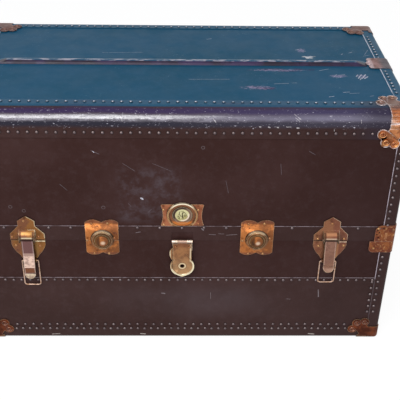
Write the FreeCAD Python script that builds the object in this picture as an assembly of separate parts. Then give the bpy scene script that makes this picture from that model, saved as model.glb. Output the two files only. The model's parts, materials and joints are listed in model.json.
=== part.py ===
import FreeCAD, Part
import math
import os

# Travel trunk lying on its back: a lower half, a slightly deeper lid hinged along the back, and pressed
# steel hardware.
# Millimetres, +Z up. Origin: middle of the footprint, on the plane the four bottom brackets stand on.
# The front faces -Y, +X runs to the right of someone facing the front.

# ---- case: overall sizes, measured over the fibre edge bindings --------------------------------
LENGTH = 914.0
DEPTH = 476.0
HEIGHT = 584.0
SEAM_ABOVE_BOTTOM = 278.0     # where the two halves meet
SEAM_GAP = 0.4
FRONT_ROUND = 35.0            # large round along the lid's front edge
EDGE_ROUND = 8.0              # every other outside edge
END_ROUND = 6.5               # the edges round the two end faces
SHARPEST_ROUND = (1.0, 0.4)   # least radius of an inner layer: at the large round, at the others

# ---- walls -------------------------------------------------------------------------------------
BINDING = 1.5                 # vulcanised fibre strips along the edges
COVERING = 1.2                # hard fibre over the plywood
PLY = 8.0
LINING = 1.0
SHEET_SET_BACK = 0.3          # front panel and valance stand this much behind the bindings

# ---- fibre strips ------------------------------------------------------------------------------
END_BINDING_WIDTH = 27.0
LONG_BINDING_WIDTH = 34.0
FRONT_BINDING_ON_TOP = 54.0
FRONT_BINDING_ON_FRONT = 58.0
BACK_BINDING_WIDTH = 28.0
VALANCE_HEIGHT = 37.0
FRONT_PANEL_TOP = 101.4       # below the seam
STRIP_FIT = 0.4               # play between neighbouring strips
NOTCH_WIDTH = 46.0            # cut-out of the valance over the hasp hinge
NOTCH_HEIGHT = 21.0

# ---- rim lip inside the lower half -------------------------------------------------------------
LIP_THICK = 4.0
LIP_BELOW = 32.0
LIP_ABOVE = 9.0
LIP_PLAY = 1.2
LIP_STOPS_SHORT = 45.0        # from the back wall

# ---- ridge along the lid -----------------------------------------------------------------------
RIDGE_Y = 5.0                 # ridge and its clamps run a little behind the middle
RIDGE_WIDTH = 25.0
RIDGE_HEIGHT = 8.0
RIDGE_END_GAP = 52.0
RIDGE_TAPER = 26.0
RIDGE_TIP = 0.8               # height of its tapered ends

# ---- pressed steel -----------------------------------------------------------------------------
BRACKET = 2.0                 # sheet of the corner brackets and edge clamps
BRACKET_LONG = 47.5           # flange along the long edge
BRACKET_SHORT = 34.0
BRACKET_BOW = (1.5, 4.0)      # its inner end bows in by the first and flares out by the second
SCROLL_RADIUS = 11.0
SCROLLS = [(60.0, 27.5), (51.5, 45.5), (34.0, 48.5)]
SCROLL_ROOT = 24.0            # from the flange's inner end to where the scrolls start
ROUND_CORNER_SHIFT = 18.0     # scrolls sit further in past the large round
UPPER_CLAMP = (43.0, 41.0)    # reach along the case, height
LOWER_CLAMP = (52.0, 28.5)
RIDGE_CLAMP_WIDTH = 54.0
RIDGE_CLAMP_REACH = 40.0
PLATE = 1.5                   # sheet of the plates on the front
FITTINGS_X = -4.5             # latches and dowels are spaced evenly about this line

# ---- dowels ------------------------------------------------------------------------------------
DOWEL_FROM_END = 291.5
DOWEL_WIDTH = 70.5
DOWEL_UP = 53.0
DOWEL_DOWN = 38.0
DOWEL_CREASE = 37.5
DOWEL_LOBE = 7.0
BOSS_RADIUS = 23.5
BOSS_STEPS = [(23.5, 3.4), (20.5, 5.6), (16.0, 7.4)]
BOSS_DOME_RADIUS = 13.0
BOSS_DOME_RISE = 3.4
BOSS_CENTRE_UP = 3.0
TONGUE_WIDTH = 14.0
TONGUE_THICK = 3.0
TONGUE_UP = 13.0
TONGUE_TAPER = (2.5, 4.0)     # taken off each top corner: across, down
DOWEL_PLAY = 0.6

# ---- draw latches ------------------------------------------------------------------------------
LATCH_FROM_END = 133.0
LATCH_HALF = 36.5
LATCH_NECK_HALF = 18.0
LATCH_UP = 62.0
LATCH_SHOULDER = 50.0
LATCH_NECK = 37.0
LATCH_FLARE = 17.0
HOOD_WIDTH = 34.0
HOOD_SHEET = 2.0
HOOD_TOP = 27.0
HOOD_LIP = 15.0               # height of its straight front
HOOD_MOUTH = 10.5             # height of the opening the strap swings through
HOOD_FOOT = 1.0
HOOD_FRONT = 12.0             # how far the hood stands out from the upper plate
HOOD_BEND = (7.2, 7.0)        # middle of its curved roof: out from the plate, above the straight front
STRAP_PIN_RADIUS = 2.0
STRAP_PIN_HEAD = (1.0, 0.8)   # wider by the first, as thick as the second
STRAP_PIN_UP = 6.5
STRAP_PIN_OUT = 6.5           # from the upper plate's face
PIN_PLAY = 0.06               # radial, every hinge
BARREL_WALL = 2.0
STRAP_WIDTH = 26.0
STRAP_THICK = 1.8
STRAP_LENGTH = {"left": 96.0, "right": 78.0}
STRAP_BEND_AT = (0.44, 0.73, 0.845, 1.0)     # shares of its length
STRAP_OUT = (5.0, 9.5, 8.5, 12.5)     # how far it stands out from the pin at each bend
STRAP_TAPER = (1.5, 16.0)     # narrower by the first, from the second above the tip
STRAP_TIP = (9.0, 4.0)        # a point of its round end: half width, above the tip
CATCH_DOWN = 47.0
CATCH_HALF = 36.0
CATCH_SHOULDER = 12.0
CATCH_WAIST = (29.5, 27.0)    # half width, below the rim
CATCH_NECK = (21.0, 38.0)
CATCH_FOOT_HALF = 16.0
KNUCKLE_WIDTH = 29.0
BAIL_WIRE = 1.5
BAIL_HALF = 17.5
BAIL_DROP = {"left": 66.0, "right": 58.0}
BAIL_PIVOT_DOWN = 52.0
BAIL_PIVOT_ROOM = 1.2         # between the bail's axle and the catch's plate
BAIL_CORNER = 6.0
BAIL_TOP_CORNER = 2.6

# ---- hasp --------------------------------------------------------------------------------------
HASP_X = 1.0                  # lock and hasp sit a little right of the middle
HASP_CLOSED_PLAY = 0.3        # closed hasp in front of the lock's horseshoe ring
HASP_AXIS_UP = 2.0            # above the lower half's rim
HASP_WIDTH = 40.0
HASP_THICK = 1.8
HASP_OFFSET = 1.2             # strap's near face from the axis, outwards when hanging
HASP_END_RADIUS = 26.0
HASP_TIP = 28.2
HASP_TIP_WAIST = (0.42, 0.3)  # ogee's middle: share of the shoulder's half width, below the round
HASP_SHOULDER = 55.0          # degrees below level where the round end turns into the ogee
HASP_RIM = 3.0
HASP_RIM_HEIGHT = 1.7
HASP_HOLE = 4.8
HASP_PIN_RADIUS = 1.8
HASP_PIN_HEAD = (0.8, 0.9)
HASP_BARREL = 3.8
HASP_BARREL_PLAY = 0.9        # strap's shoulders to the fixed knuckles
HASP_MIDDLE = 20.0            # length of the hasp's own knuckle
HASP_CHEEK = 1.5              # hinge wider than the strap on each side
HASP_LEAF_DOWN = 27.0
HASP_BOSS_RADIUS = 23.0
HASP_BOSS_THICK = 6.0
HASP_BOSS_EDGE = 2.0
HASP_BOSS_AT = 33.0
HASP_BOSS_SIDE = -4.5
HINGE_END_PLAY = 0.3

# ---- lock --------------------------------------------------------------------------------------
LOCK_WIDTH = 90.0
LOCK_HEIGHT = 54.5
LOCK_WAIST = 4.0
LOCK_CORNER = 3.0
LOCK_BOTTOM_UP = 37.4         # above the seam
RING_OUTER = 32.0
RING_WALL = 3.2
RING_HEIGHT = 4.5
RING_FLAT = 28.0              # the ring is cut off flat this far below its centre
GATE_PLAY = 1.5               # hasp's strap between the ring's ends
INNER_RING_OUTER = 20.5
INNER_RING_HEIGHT = 1.5
PLUG_RADIUS = 15.0
PLUG_PLAY = 0.08
PLUG_SINK = 0.6
PLUG_BACK_PLAY = 0.3          # disc to the case, shank to the case's back
KEY_SLOT = (2.2, 13.0, 3.0)   # width, height, depth
PLUG_SHANK = 7.0
LOCK_CASE = (52.0, 36.0)
LOCK_CASE_SHEET = 1.0
CAM = (15.0, 9.0, 2.0)        # reach below the shank's centre, width, thickness
CAM_BACK_PLAY = 1.2
CAM_COLLAR = 3.0

# ---- back hinges -------------------------------------------------------------------------------
BACK_HINGE_FROM_END = 157.0
BACK_HINGE_WIDTH = 64.0
BACK_LEAF = 46.0
BACK_LEAF_CORNER = 6.0
BACK_LEAF_SHEET = 2.0
BACK_AXIS_OUT = 6.5
BACK_PIN_RADIUS = 2.5
BACK_PIN_HEAD = (1.2, 1.5)
BACK_BARREL = 5.0
BACK_BARREL_ROOM = 0.5
BACK_WEB = (2.0, 2.5)         # from the rim, thickness

# ---- end handles -------------------------------------------------------------------------------
HANDLE_UP = 190.0
HANDLE_SPAN = 190.0
HANDLE_RISE = 30.0
HANDLE_THICK = 7.0
HANDLE_WIDTH = 24.0
HANDLE_EDGE = 1.2
HANDLE_SKIVE = 0.6            # thickness of its ends, as a share of its middle's
HANDLE_SEAT = 0.8             # off the end face
LOOP_SHEET = 1.6
LOOP_LENGTH = 34.0
LOOP_FLANGE = 9.0
LOOP_PLAY = 0.6
LOOP_OVERHANG = 3.0           # past the handle's end
LOOP_TO_KNEE = 4.0            # from the loop to where the handle lifts off
INNER_KNEE = 3.0              # the handle's underside lifts off this much further out

# ---- derived places ----------------------------------------------------------------------------
BOTTOM = BRACKET
TOP = BOTTOM + HEIGHT
SEAM = BOTTOM + SEAM_ABOVE_BOTTOM
LOWER_RIM = SEAM - SEAM_GAP / 2
LID_RIM = SEAM + SEAM_GAP / 2
FAR = 2 * LENGTH
THROUGH = 20.0                                  # cutters reach this much past what they cut
TOUCHING = 1e-6                                 # nearer than this counts as one place
FACE = -DEPTH / 2 + BINDING                     # covering's outer face at the front
VALANCE_FACE = -DEPTH / 2 + SHEET_SET_BACK      # valance's outer face at the front
BACK_FACE = DEPTH / 2 - BINDING
BACK_VALANCE_FACE = DEPTH / 2 - SHEET_SET_BACK
END_FACE = LENGTH / 2 - BINDING
INNER = BINDING + COVERING + PLY + LINING       # inset of the lining's inside face
DOWEL_X = FITTINGS_X + LENGTH / 2 - DOWEL_FROM_END
LATCH_X = FITTINGS_X + LENGTH / 2 - LATCH_FROM_END
BACK_HINGE_X = LENGTH / 2 - BACK_HINGE_FROM_END
LOCK_Z = LID_RIM + LOCK_BOTTOM_UP + RING_FLAT
CASE_BACK = FACE + COVERING + PLY               # back of the lock case
HASP_Z = LOWER_RIM + HASP_AXIS_UP
HASP_REACH = LOCK_Z - HASP_Z                    # its round end closes round the lock's plug
ARC = 1 - math.sqrt(0.5)                        # a quarter circle's middle, from its corner
X, Y, Z = FreeCAD.Vector(1, 0, 0), FreeCAD.Vector(0, 1, 0), FreeCAD.Vector(0, 0, 1)


def vec(x, y, z):
    return FreeCAD.Vector(x, y, z)


def box(x0, x1, y0, y1, z0, z1):
    return Part.makeBox(x1 - x0, y1 - y0, z1 - z0, vec(x0, y0, z0))


def rod(start, axis, radius, length):
    return Part.makeCylinder(radius, length, start, axis)


def joined(shapes):
    whole = shapes[0]
    for shape in shapes[1:]:
        whole = whole.fuse(shape)
    return whole.removeSplitter()


def mirror_x(shape, x=0.0):
    return shape.mirror(vec(x, 0, 0), X)


def mirror_y(shape):
    return shape.mirror(vec(0, 0, 0), Y)


def outline(points, place):
    """Closed face through 2-D points. An item ((mu, mv), (u, v)) is an arc through (mu, mv)."""
    edges = []
    first = last = place(*points[0])
    for item in points[1:]:
        if isinstance(item[0], tuple):
            middle, end = place(*item[0]), place(*item[1])
            edges.append(Part.Arc(last, middle, end).toShape())
        else:
            end = place(*item)
            edges.append(Part.LineSegment(last, end).toShape())
        last = end
    if last.distanceToPoint(first) > TOUCHING:
        edges.append(Part.LineSegment(last, first).toShape())
    return Part.Face(Part.Wire(edges))


def mirrored(half):
    """Full outline from its right half, which runs from the top middle down to the bottom middle."""
    points = list(half)
    ends = [item[1] if isinstance(item[0], tuple) else item for item in half]
    for index in range(len(half) - 1, 0, -1):
        u, v = ends[index - 1]
        if isinstance(half[index][0], tuple):
            mu, mv = half[index][0]
            points.append(((-mu, mv), (-u, v)))
        else:
            points.append((-u, v))
    return points


def front_plate(points, x, z, face, thick):
    """Flat plate on the front: points are (across, up) from (x, z), face is the y it lies on."""
    return outline(points, lambda u, v: vec(x + u, face, z + v)).extrude(vec(0, -thick, 0))


# ---- the case ----------------------------------------------------------------------------------
def section(inset, x):
    """Case section across X at an inset from the binding's outside, with its large front round."""
    y0, y1 = -DEPTH / 2 + inset, DEPTH / 2 - inset
    z0, z1 = BOTTOM + inset, TOP - inset
    big = max(FRONT_ROUND - inset, SHARPEST_ROUND[0])
    small = max(EDGE_ROUND - inset, SHARPEST_ROUND[1])
    bend = ARC * small
    points = [(y0 + big, z1), (y1 - small, z1), ((y1 - bend, z1 - bend), (y1, z1 - small)),
              (y1, z0 + small), ((y1 - bend, z0 + bend), (y1 - small, z0)),
              (y0 + small, z0), ((y0 + bend, z0 + bend), (y0, z0 + small)),
              (y0, z1 - big), ((y0 + ARC * big, z1 - ARC * big), (y0 + big, z1))]
    return outline(points, lambda u, v: vec(x, u, v))


def block(inset):
    """Solid of the whole closed case at an inset from the binding's outside."""
    half = LENGTH / 2 - inset
    solid = section(inset, -half).extrude(vec(2 * half, 0, 0))
    soften = END_ROUND - inset
    if soften > SHARPEST_ROUND[1]:
        rims = [e for e in solid.Edges if e.BoundBox.XLength < TOUCHING]
        solid = solid.makeFillet(soften, rims)
    return solid


def below():
    return box(-FAR, FAR, -FAR, FAR, -FAR, LOWER_RIM)


def above():
    return box(-FAR, FAR, -FAR, FAR, LID_RIM, FAR)


def layer(outer, inner):
    return block(outer).cut(block(inner))


def shells():
    """Plywood, covering and lining of both halves."""
    ply = layer(BINDING + COVERING, BINDING + COVERING + PLY)
    cover = layer(BINDING, BINDING + COVERING)
    lining = layer(BINDING + COVERING + PLY, INNER)
    lock_pocket = box(HASP_X - LOCK_CASE[0] / 2, HASP_X + LOCK_CASE[0] / 2, FACE - BINDING, CASE_BACK,
                      LOCK_Z - LOCK_CASE[1] / 2, LOCK_Z + LOCK_CASE[1] / 2)
    lower, upper = below(), above()
    return {
        "lower_box": ply.common(lower),
        "lower_covering": cover.common(lower),
        "lower_lining": lining.common(lower),
        "lid_box": ply.common(upper).cut(lock_pocket),
        "lid_covering": cover.common(upper).cut(lock_pocket),
        "lid_lining": lining.common(upper),
    }


def end_bindings():
    """Frames of fibre round both end faces."""
    strip = layer(0, BINDING)
    window = section(END_BINDING_WIDTH, -FAR).extrude(vec(2 * FAR, 0, 0))
    middle = box(-(LENGTH / 2 - END_BINDING_WIDTH), LENGTH / 2 - END_BINDING_WIDTH, -FAR, FAR, -FAR, FAR)
    return strip.cut(window).cut(middle)


def long_span():
    half = LENGTH / 2 - END_BINDING_WIDTH - STRIP_FIT
    return -half, half


def long_bindings():
    """Fibre strips along the four long edges, between the end frames."""
    x0, x1 = long_span()
    strip = layer(0, BINDING)
    front, back = -DEPTH / 2, DEPTH / 2
    lid_front = strip.common(box(x0, x1, front, front + FRONT_BINDING_ON_TOP,
                                 TOP - FRONT_BINDING_ON_FRONT, TOP))
    lid_back = strip.common(box(x0, x1, back - BACK_BINDING_WIDTH, back, TOP - BACK_BINDING_WIDTH, TOP))
    lower = [strip.common(box(x0, x1, y0, y1, BOTTOM, BOTTOM + LONG_BINDING_WIDTH))
             for y0, y1 in ((front, front + LONG_BINDING_WIDTH), (back - LONG_BINDING_WIDTH, back))]
    return lid_front, lid_back, Part.makeCompound(lower)


def lower_front_panel():
    x0, x1 = long_span()
    bottom = BOTTOM + LONG_BINDING_WIDTH + STRIP_FIT
    return layer(SHEET_SET_BACK, BINDING).common(
        box(x0, x1, -DEPTH / 2, -DEPTH / 4, bottom, SEAM - FRONT_PANEL_TOP))


def lid_valance():
    """Strips along the lid's rim, between the corner bindings, notched over the hasp hinge."""
    x0, x1 = long_span()
    y1 = DEPTH / 2 - END_BINDING_WIDTH - STRIP_FIT
    band = layer(SHEET_SET_BACK, BINDING).common(
        box(-FAR, FAR, -FAR, FAR, LID_RIM, LID_RIM + VALANCE_HEIGHT))
    notch = box(HASP_X - NOTCH_WIDTH / 2, HASP_X + NOTCH_WIDTH / 2, -DEPTH, 0, 0, LID_RIM + NOTCH_HEIGHT)
    inside = DEPTH / 2 - EDGE_ROUND
    long_part = box(x0, x1, -FAR, FAR, -FAR, FAR).cut(box(x0, x1, -inside, inside, -FAR, FAR))
    strips = band.common(long_part).cut(notch)
    between = LENGTH / 2 - EDGE_ROUND
    ends = band.common(box(-FAR, FAR, -y1, y1, -FAR, FAR)).cut(box(-between, between, -FAR, FAR, -FAR, FAR))
    return Part.makeCompound(strips.Solids + ends.Solids)


def rim_lip():
    """Wooden lip glued inside the lower half's front and ends; it steers the lid as it closes."""
    outer = box(-LENGTH / 2 + INNER, LENGTH / 2 - INNER, -DEPTH / 2 + INNER,
                DEPTH / 2 - INNER - LIP_STOPS_SHORT, SEAM - LIP_BELOW, SEAM + LIP_ABOVE)
    inset = INNER + LIP_THICK
    hole = box(-LENGTH / 2 + inset, LENGTH / 2 - inset, -DEPTH / 2 + inset, DEPTH, 0, TOP)
    step_inset = INNER + LIP_PLAY
    keep = box(-LENGTH / 2 + step_inset, LENGTH / 2 - step_inset, -DEPTH / 2 + step_inset, DEPTH,
               LOWER_RIM, TOP)
    upper = box(-FAR, FAR, -FAR, FAR, LOWER_RIM, FAR)
    return outer.cut(hole).cut(upper.cut(keep))


def top_ridge():
    """Low rounded batten along the lid, tapered at both ends."""
    half = LENGTH / 2 - RIDGE_END_GAP
    seat = TOP - BINDING
    points = [(-RIDGE_WIDTH / 2, seat), ((0.0, seat + RIDGE_HEIGHT), (RIDGE_WIDTH / 2, seat))]
    batten = outline(points, lambda u, v: vec(-half, RIDGE_Y + u, v)).extrude(vec(2 * half, 0, 0))
    wedge = outline([(half - RIDGE_TAPER, seat + RIDGE_HEIGHT), (half, seat + RIDGE_TIP),
                     (half + RIDGE_TIP, seat + RIDGE_TIP), (half + RIDGE_TIP, seat + 2 * RIDGE_HEIGHT),
                     (half - RIDGE_TAPER, seat + 2 * RIDGE_HEIGHT)],
                    lambda u, v: vec(u, RIDGE_Y - RIDGE_WIDTH, v)).extrude(vec(0, 2 * RIDGE_WIDTH, 0))
    return batten.cut(wedge).cut(mirror_x(wedge))


# ---- corner brackets and clamps ----------------------------------------------------------------
def scroll_flange(shift, place, along):
    """One flange of a corner bracket: a strip along the edge with three scrolls at its inner corner."""
    reach = BRACKET_SHORT + shift
    lobes = [(u, v + shift) for u, v in SCROLLS]
    bow, flare = BRACKET_BOW
    strip = [(-BRACKET, -BRACKET), (BRACKET_LONG, -BRACKET),
             ((BRACKET_LONG - bow, reach / 2), (BRACKET_LONG + flare, reach - SCROLL_RADIUS)),
             lobes[0], lobes[1], lobes[2], (BRACKET_LONG - SCROLL_ROOT, reach), (-BRACKET, reach)]
    solids = [outline(strip, place).extrude(along)]
    for u, v in lobes:
        ring = Part.Circle(place(u, v), along, SCROLL_RADIUS).toShape()
        solids.append(Part.Face(Part.Wire([ring])).extrude(along))
    return joined(solids)


def corner_bracket(rounded):
    """Stamped bracket for the right front top corner (rounded) or the right back top one."""
    shell = layer(-BRACKET, 0)
    shift = ROUND_CORNER_SHIFT if rounded else 0.0
    wrap = FRONT_ROUND if rounded else EDGE_ROUND + BRACKET
    end_wrap = EDGE_ROUND + BRACKET
    side = -1 if rounded else 1
    x, y, z = LENGTH / 2, side * DEPTH / 2, TOP
    face = scroll_flange(shift, lambda u, v: vec(x - u, y + side * BRACKET, z - v),
                         vec(0, -side * (wrap + BRACKET), 0))
    top = scroll_flange(shift, lambda u, v: vec(x - u, y - side * v, z + BRACKET),
                        vec(0, 0, -(wrap + BRACKET)))
    end = scroll_flange(shift, lambda u, v: vec(x + BRACKET, y - side * u, z - v),
                        vec(-(end_wrap + BRACKET), 0, 0))
    return shell.common(joined([face, top, end]))


def flip_z(shape):
    """Mirror about the case's mid height."""
    return shape.mirror(vec(0, 0, (BOTTOM + TOP) / 2), Z)


def clamp_mask(reach, height, base, up):
    """Rounded tab against the right front vertical edge, on the front and on the end face."""
    x, y = LENGTH / 2, -DEPTH / 2
    r = height / 3
    top = base + up * height
    tab = [(-BRACKET, base), (reach, base), (reach, top - up * r),
           ((reach - ARC * r, top - up * ARC * r), (reach - r, top)), (-BRACKET, top)]
    wrap = EDGE_ROUND + BRACKET
    on_front = outline(tab, lambda u, v: vec(x - u, y - BRACKET, v)).extrude(vec(0, wrap, 0))
    on_end = outline(tab, lambda u, v: vec(x + BRACKET, y + u, v)).extrude(vec(-wrap, 0, 0))
    return joined([on_front, on_end])


def seam_clamps():
    """Angle plates over the vertical edges, either side of the seam."""
    shell = layer(-BRACKET, 0)
    groups = []
    for (reach, height), base, up in ((UPPER_CLAMP, LID_RIM, 1), (LOWER_CLAMP, LOWER_RIM, -1)):
        one = shell.common(clamp_mask(reach, height, base, up))
        four = [one, mirror_x(one), mirror_y(one), mirror_y(mirror_x(one))]
        groups.append(Part.makeCompound(four))
    return groups


def ridge_clamp():
    """Plate folded over the right end edge in line with the ridge, its inner ends cut into lobes."""
    half = RIDGE_CLAMP_WIDTH / 2
    r = half / 3
    lobes = [(-2 * r, RIDGE_CLAMP_REACH), (0.0, RIDGE_CLAMP_REACH + r / 2), (2 * r, RIDGE_CLAMP_REACH)]
    tab = [(-half, -BRACKET), (half, -BRACKET), (half, RIDGE_CLAMP_REACH), (-half, RIDGE_CLAMP_REACH)]
    wrap = EDGE_ROUND + BRACKET
    masks = []
    for place, along in ((lambda u, v: vec(LENGTH / 2 - v, RIDGE_Y + u, TOP + BRACKET), vec(0, 0, -wrap)),
                         (lambda u, v: vec(LENGTH / 2 + BRACKET, RIDGE_Y + u, TOP - v), vec(-wrap, 0, 0))):
        masks.append(outline(tab, place).extrude(along))
        for u, v in lobes:
            masks.append(Part.Face(Part.Wire([Part.Circle(place(u, v), along, r).toShape()])).extrude(along))
    return layer(-BRACKET, 0).common(joined(masks))


# ---- dowels ------------------------------------------------------------------------------------
def lobed_plate(length, up):
    """Half outline of a dowel plate: straight sides and an end cut into two round lobes."""
    half = DOWEL_WIDTH / 2
    end = up * length
    dip = end - up * DOWEL_LOBE
    shoulder = end - up * DOWEL_LOBE * ARC
    return mirrored([(0.0, dip), ((half / 4, shoulder), (half / 2, end)),
                     ((half * 0.8, shoulder), (half, dip)), (half, 0.0), (0.0, 0.0)])


def dowel_boss():
    """Upper dowel plate: a jogged plate with a stepped hollow boss that drops over the tongue."""
    points = lobed_plate(DOWEL_UP, 1)
    low = front_plate(points, DOWEL_X, LID_RIM, VALANCE_FACE, PLATE)
    low = low.common(box(-FAR, FAR, -FAR, FAR, 0, LID_RIM + DOWEL_CREASE + PLATE))
    high = front_plate(points, DOWEL_X, LID_RIM, FACE, PLATE)
    high = high.common(box(-FAR, FAR, -FAR, FAR, LID_RIM + DOWEL_CREASE, FAR))
    centre = vec(DOWEL_X, VALANCE_FACE - PLATE, LID_RIM + BOSS_CENTRE_UP)
    steps = [rod(centre, -Y, radius, height) for radius, height in BOSS_STEPS]
    crown = BOSS_STEPS[-1][1]
    ball = (BOSS_DOME_RADIUS ** 2 + BOSS_DOME_RISE ** 2) / (2 * BOSS_DOME_RISE)
    dome = Part.makeSphere(ball, centre + vec(0, ball - crown - BOSS_DOME_RISE, 0))
    dome = dome.common(rod(centre, -Y, BOSS_DOME_RADIUS, 2 * crown))
    half = TONGUE_WIDTH / 2 + DOWEL_PLAY
    slot = box(DOWEL_X - half, DOWEL_X + half, FACE - PLATE - TONGUE_THICK - 2 * DOWEL_PLAY, FACE,
               SEAM - 2 * BOSS_RADIUS, LOWER_RIM + TONGUE_UP + DOWEL_PLAY)
    return joined([low, high] + steps + [dome]).cut(slot)


def dowel_tongue():
    """Lower dowel plate with the tongue that enters the boss."""
    plate = front_plate(lobed_plate(DOWEL_DOWN, -1), DOWEL_X, LOWER_RIM, FACE, PLATE)
    half = TONGUE_WIDTH / 2
    back = FACE - PLATE
    across, down = TONGUE_TAPER
    points = [(-half, -BOSS_RADIUS), (half, -BOSS_RADIUS), (half, TONGUE_UP - down),
              (half - across, TONGUE_UP), (across - half, TONGUE_UP), (-half, TONGUE_UP - down)]
    tongue = front_plate(points, DOWEL_X, LOWER_RIM, back - DOWEL_PLAY, TONGUE_THICK - DOWEL_PLAY)
    root = box(DOWEL_X - half, DOWEL_X + half, back - TONGUE_THICK, back,
               LOWER_RIM - BOSS_RADIUS, LOWER_RIM - SEAM_GAP)
    return joined([plate, tongue, root])


# ---- draw latches ------------------------------------------------------------------------------
def latch_pin_centre():
    return VALANCE_FACE - PLATE - STRAP_PIN_OUT, LID_RIM + STRAP_PIN_UP


def latch_plate():
    """Upper latch plate, pointed at the top, with the hood that carries the strap's pin."""
    plate = front_plate(mirrored([(0.0, LATCH_UP), (LATCH_NECK_HALF, LATCH_SHOULDER),
                                  (LATCH_NECK_HALF, LATCH_NECK), (LATCH_HALF, LATCH_FLARE),
                                  (LATCH_HALF, 0.0), (0.0, 0.0)]),
                        LATCH_X, LID_RIM, VALANCE_FACE, PLATE)
    face = VALANCE_FACE - PLATE
    half = HOOD_WIDTH / 2
    out, up = HOOD_BEND
    profile = [(0.0, HOOD_FOOT), (-HOOD_FRONT, HOOD_FOOT), (-HOOD_FRONT, HOOD_LIP),
               ((-out, HOOD_LIP + up), (0.0, HOOD_TOP))]
    hood = outline(profile, lambda u, v: vec(LATCH_X - half, face + u, LID_RIM + v))
    hood = hood.extrude(vec(HOOD_WIDTH, 0, 0))
    room = half - HOOD_SHEET
    past = HOOD_FRONT + HOOD_SHEET
    inner = [(0.0, -HOOD_FOOT), (-past, -HOOD_FOOT), (-past, HOOD_MOUTH),
             (HOOD_SHEET - HOOD_FRONT, HOOD_MOUTH + HOOD_SHEET),
             ((HOOD_SHEET - out, HOOD_LIP + up - HOOD_SHEET), (0.0, HOOD_TOP - 2 * HOOD_SHEET))]
    hollow = outline(inner, lambda u, v: vec(LATCH_X - room, face + u, LID_RIM + v))
    hollow = hollow.extrude(vec(2 * room, 0, 0))
    y, z = latch_pin_centre()
    bore = rod(vec(LATCH_X - HOOD_WIDTH, y, z), X, STRAP_PIN_RADIUS, 2 * HOOD_WIDTH)
    return joined([plate, hood.cut(hollow)]).cut(bore)


def pin(x, y, z, radius, half, head):
    """Pin along X about its middle, with a flat head on each end."""
    wider, thick = head
    heads = [rod(vec(x + s * half, y, z), X * s, radius + wider, thick) for s in (-1, 1)]
    return joined([rod(vec(x - half, y, z), X, radius, 2 * half)] + heads)


def latch_pin():
    y, z = latch_pin_centre()
    return pin(LATCH_X, y, z, STRAP_PIN_RADIUS, HOOD_WIDTH / 2, STRAP_PIN_HEAD)


def latch_strap(side):
    """Spring strap: a barrel on the pin and a blade bent in flat facets, with a lifted round tip."""
    y, z = latch_pin_centre()
    length = STRAP_LENGTH[side]
    radius = STRAP_PIN_RADIUS + PIN_PLAY + BARREL_WALL
    outer = [(-radius, 0.0)] + [(-out, -share * length) for share, out in zip(STRAP_BEND_AT, STRAP_OUT)]
    inner = [(u + STRAP_THICK, v) for u, v in reversed(outer)]
    half = STRAP_WIDTH / 2
    body = outline(outer + inner, lambda u, v: vec(LATCH_X - half, y + u, z + v))
    body = body.extrude(vec(STRAP_WIDTH, 0, 0))
    narrower, taper_from = STRAP_TAPER
    tip_half, tip_up = STRAP_TIP
    mask = mirrored([(0.0, radius), (half, radius), (half - narrower, taper_from - length),
                     ((tip_half, tip_up - length), (0.0, -length))])
    mask = outline(mask, lambda u, v: vec(LATCH_X + u, y - THROUGH, z + v)).extrude(vec(0, 2 * THROUGH, 0))
    barrel_half = HOOD_WIDTH / 2 - HOOD_SHEET - HINGE_END_PLAY
    barrel = rod(vec(LATCH_X - barrel_half, y, z), X, radius, 2 * barrel_half)
    bore = rod(vec(LATCH_X - HOOD_WIDTH, y, z), X, STRAP_PIN_RADIUS + PIN_PLAY, 2 * HOOD_WIDTH)
    return joined([body.common(mask), barrel]).cut(bore)


def bail_pivot():
    return FACE - PLATE - BAIL_WIRE - BAIL_PIVOT_ROOM, LOWER_RIM - BAIL_PIVOT_DOWN


def latch_catch():
    """Lower latch plate, tapering to the knuckle that holds the bail."""
    y, z = bail_pivot()
    waist_half, waist = CATCH_WAIST
    neck_half, neck = CATCH_NECK
    plate = front_plate(mirrored([(0.0, 0.0), (CATCH_HALF, 0.0), (CATCH_HALF, -CATCH_SHOULDER),
                                  ((waist_half, -waist), (neck_half, -neck)),
                                  (CATCH_FOOT_HALF, -CATCH_DOWN), (0.0, -CATCH_DOWN)]),
                        LATCH_X, LOWER_RIM, FACE, PLATE)
    half = KNUCKLE_WIDTH / 2
    tongue = box(LATCH_X - half, LATCH_X + half, FACE - PLATE, FACE, z, LOWER_RIM - CATCH_DOWN + PLATE)
    knuckle = rod(vec(LATCH_X - half, y, z), X, FACE - y, KNUCKLE_WIDTH)
    bore = rod(vec(LATCH_X - CATCH_HALF, y, z), X, BAIL_WIRE + PIN_PLAY, 2 * CATCH_HALF)
    return joined([plate, tongue, knuckle]).cut(bore)


def latch_bail(side):
    """Rectangular wire loop that swings in the catch's knuckle."""
    y, z = bail_pivot()
    drop, half, low, top = BAIL_DROP[side], BAIL_HALF, BAIL_CORNER, BAIL_TOP_CORNER
    bend, top_bend = ARC * low, ARC * top
    loop = [(top - half, 0.0), (half - top, 0.0), ((half - top_bend, -top_bend), (half, -top)),
            (half, low - drop), ((half - bend, bend - drop), (half - low, -drop)), (low - half, -drop),
            ((bend - half, bend - drop), (-half, low - drop)), (-half, -top),
            ((top_bend - half, -top_bend), (top - half, 0.0))]
    path = outline(loop, lambda u, v: vec(LATCH_X + u, y, z + v)).OuterWire
    start = Part.Wire([Part.Circle(vec(LATCH_X - half + top, y, z), X, BAIL_WIRE).toShape()])
    return path.makePipeShell([start], True, False)


# ---- hasp --------------------------------------------------------------------------------------
def hasp_y():
    return FACE - PLATE - RING_HEIGHT - HASP_CLOSED_PLAY - HASP_OFFSET


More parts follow.
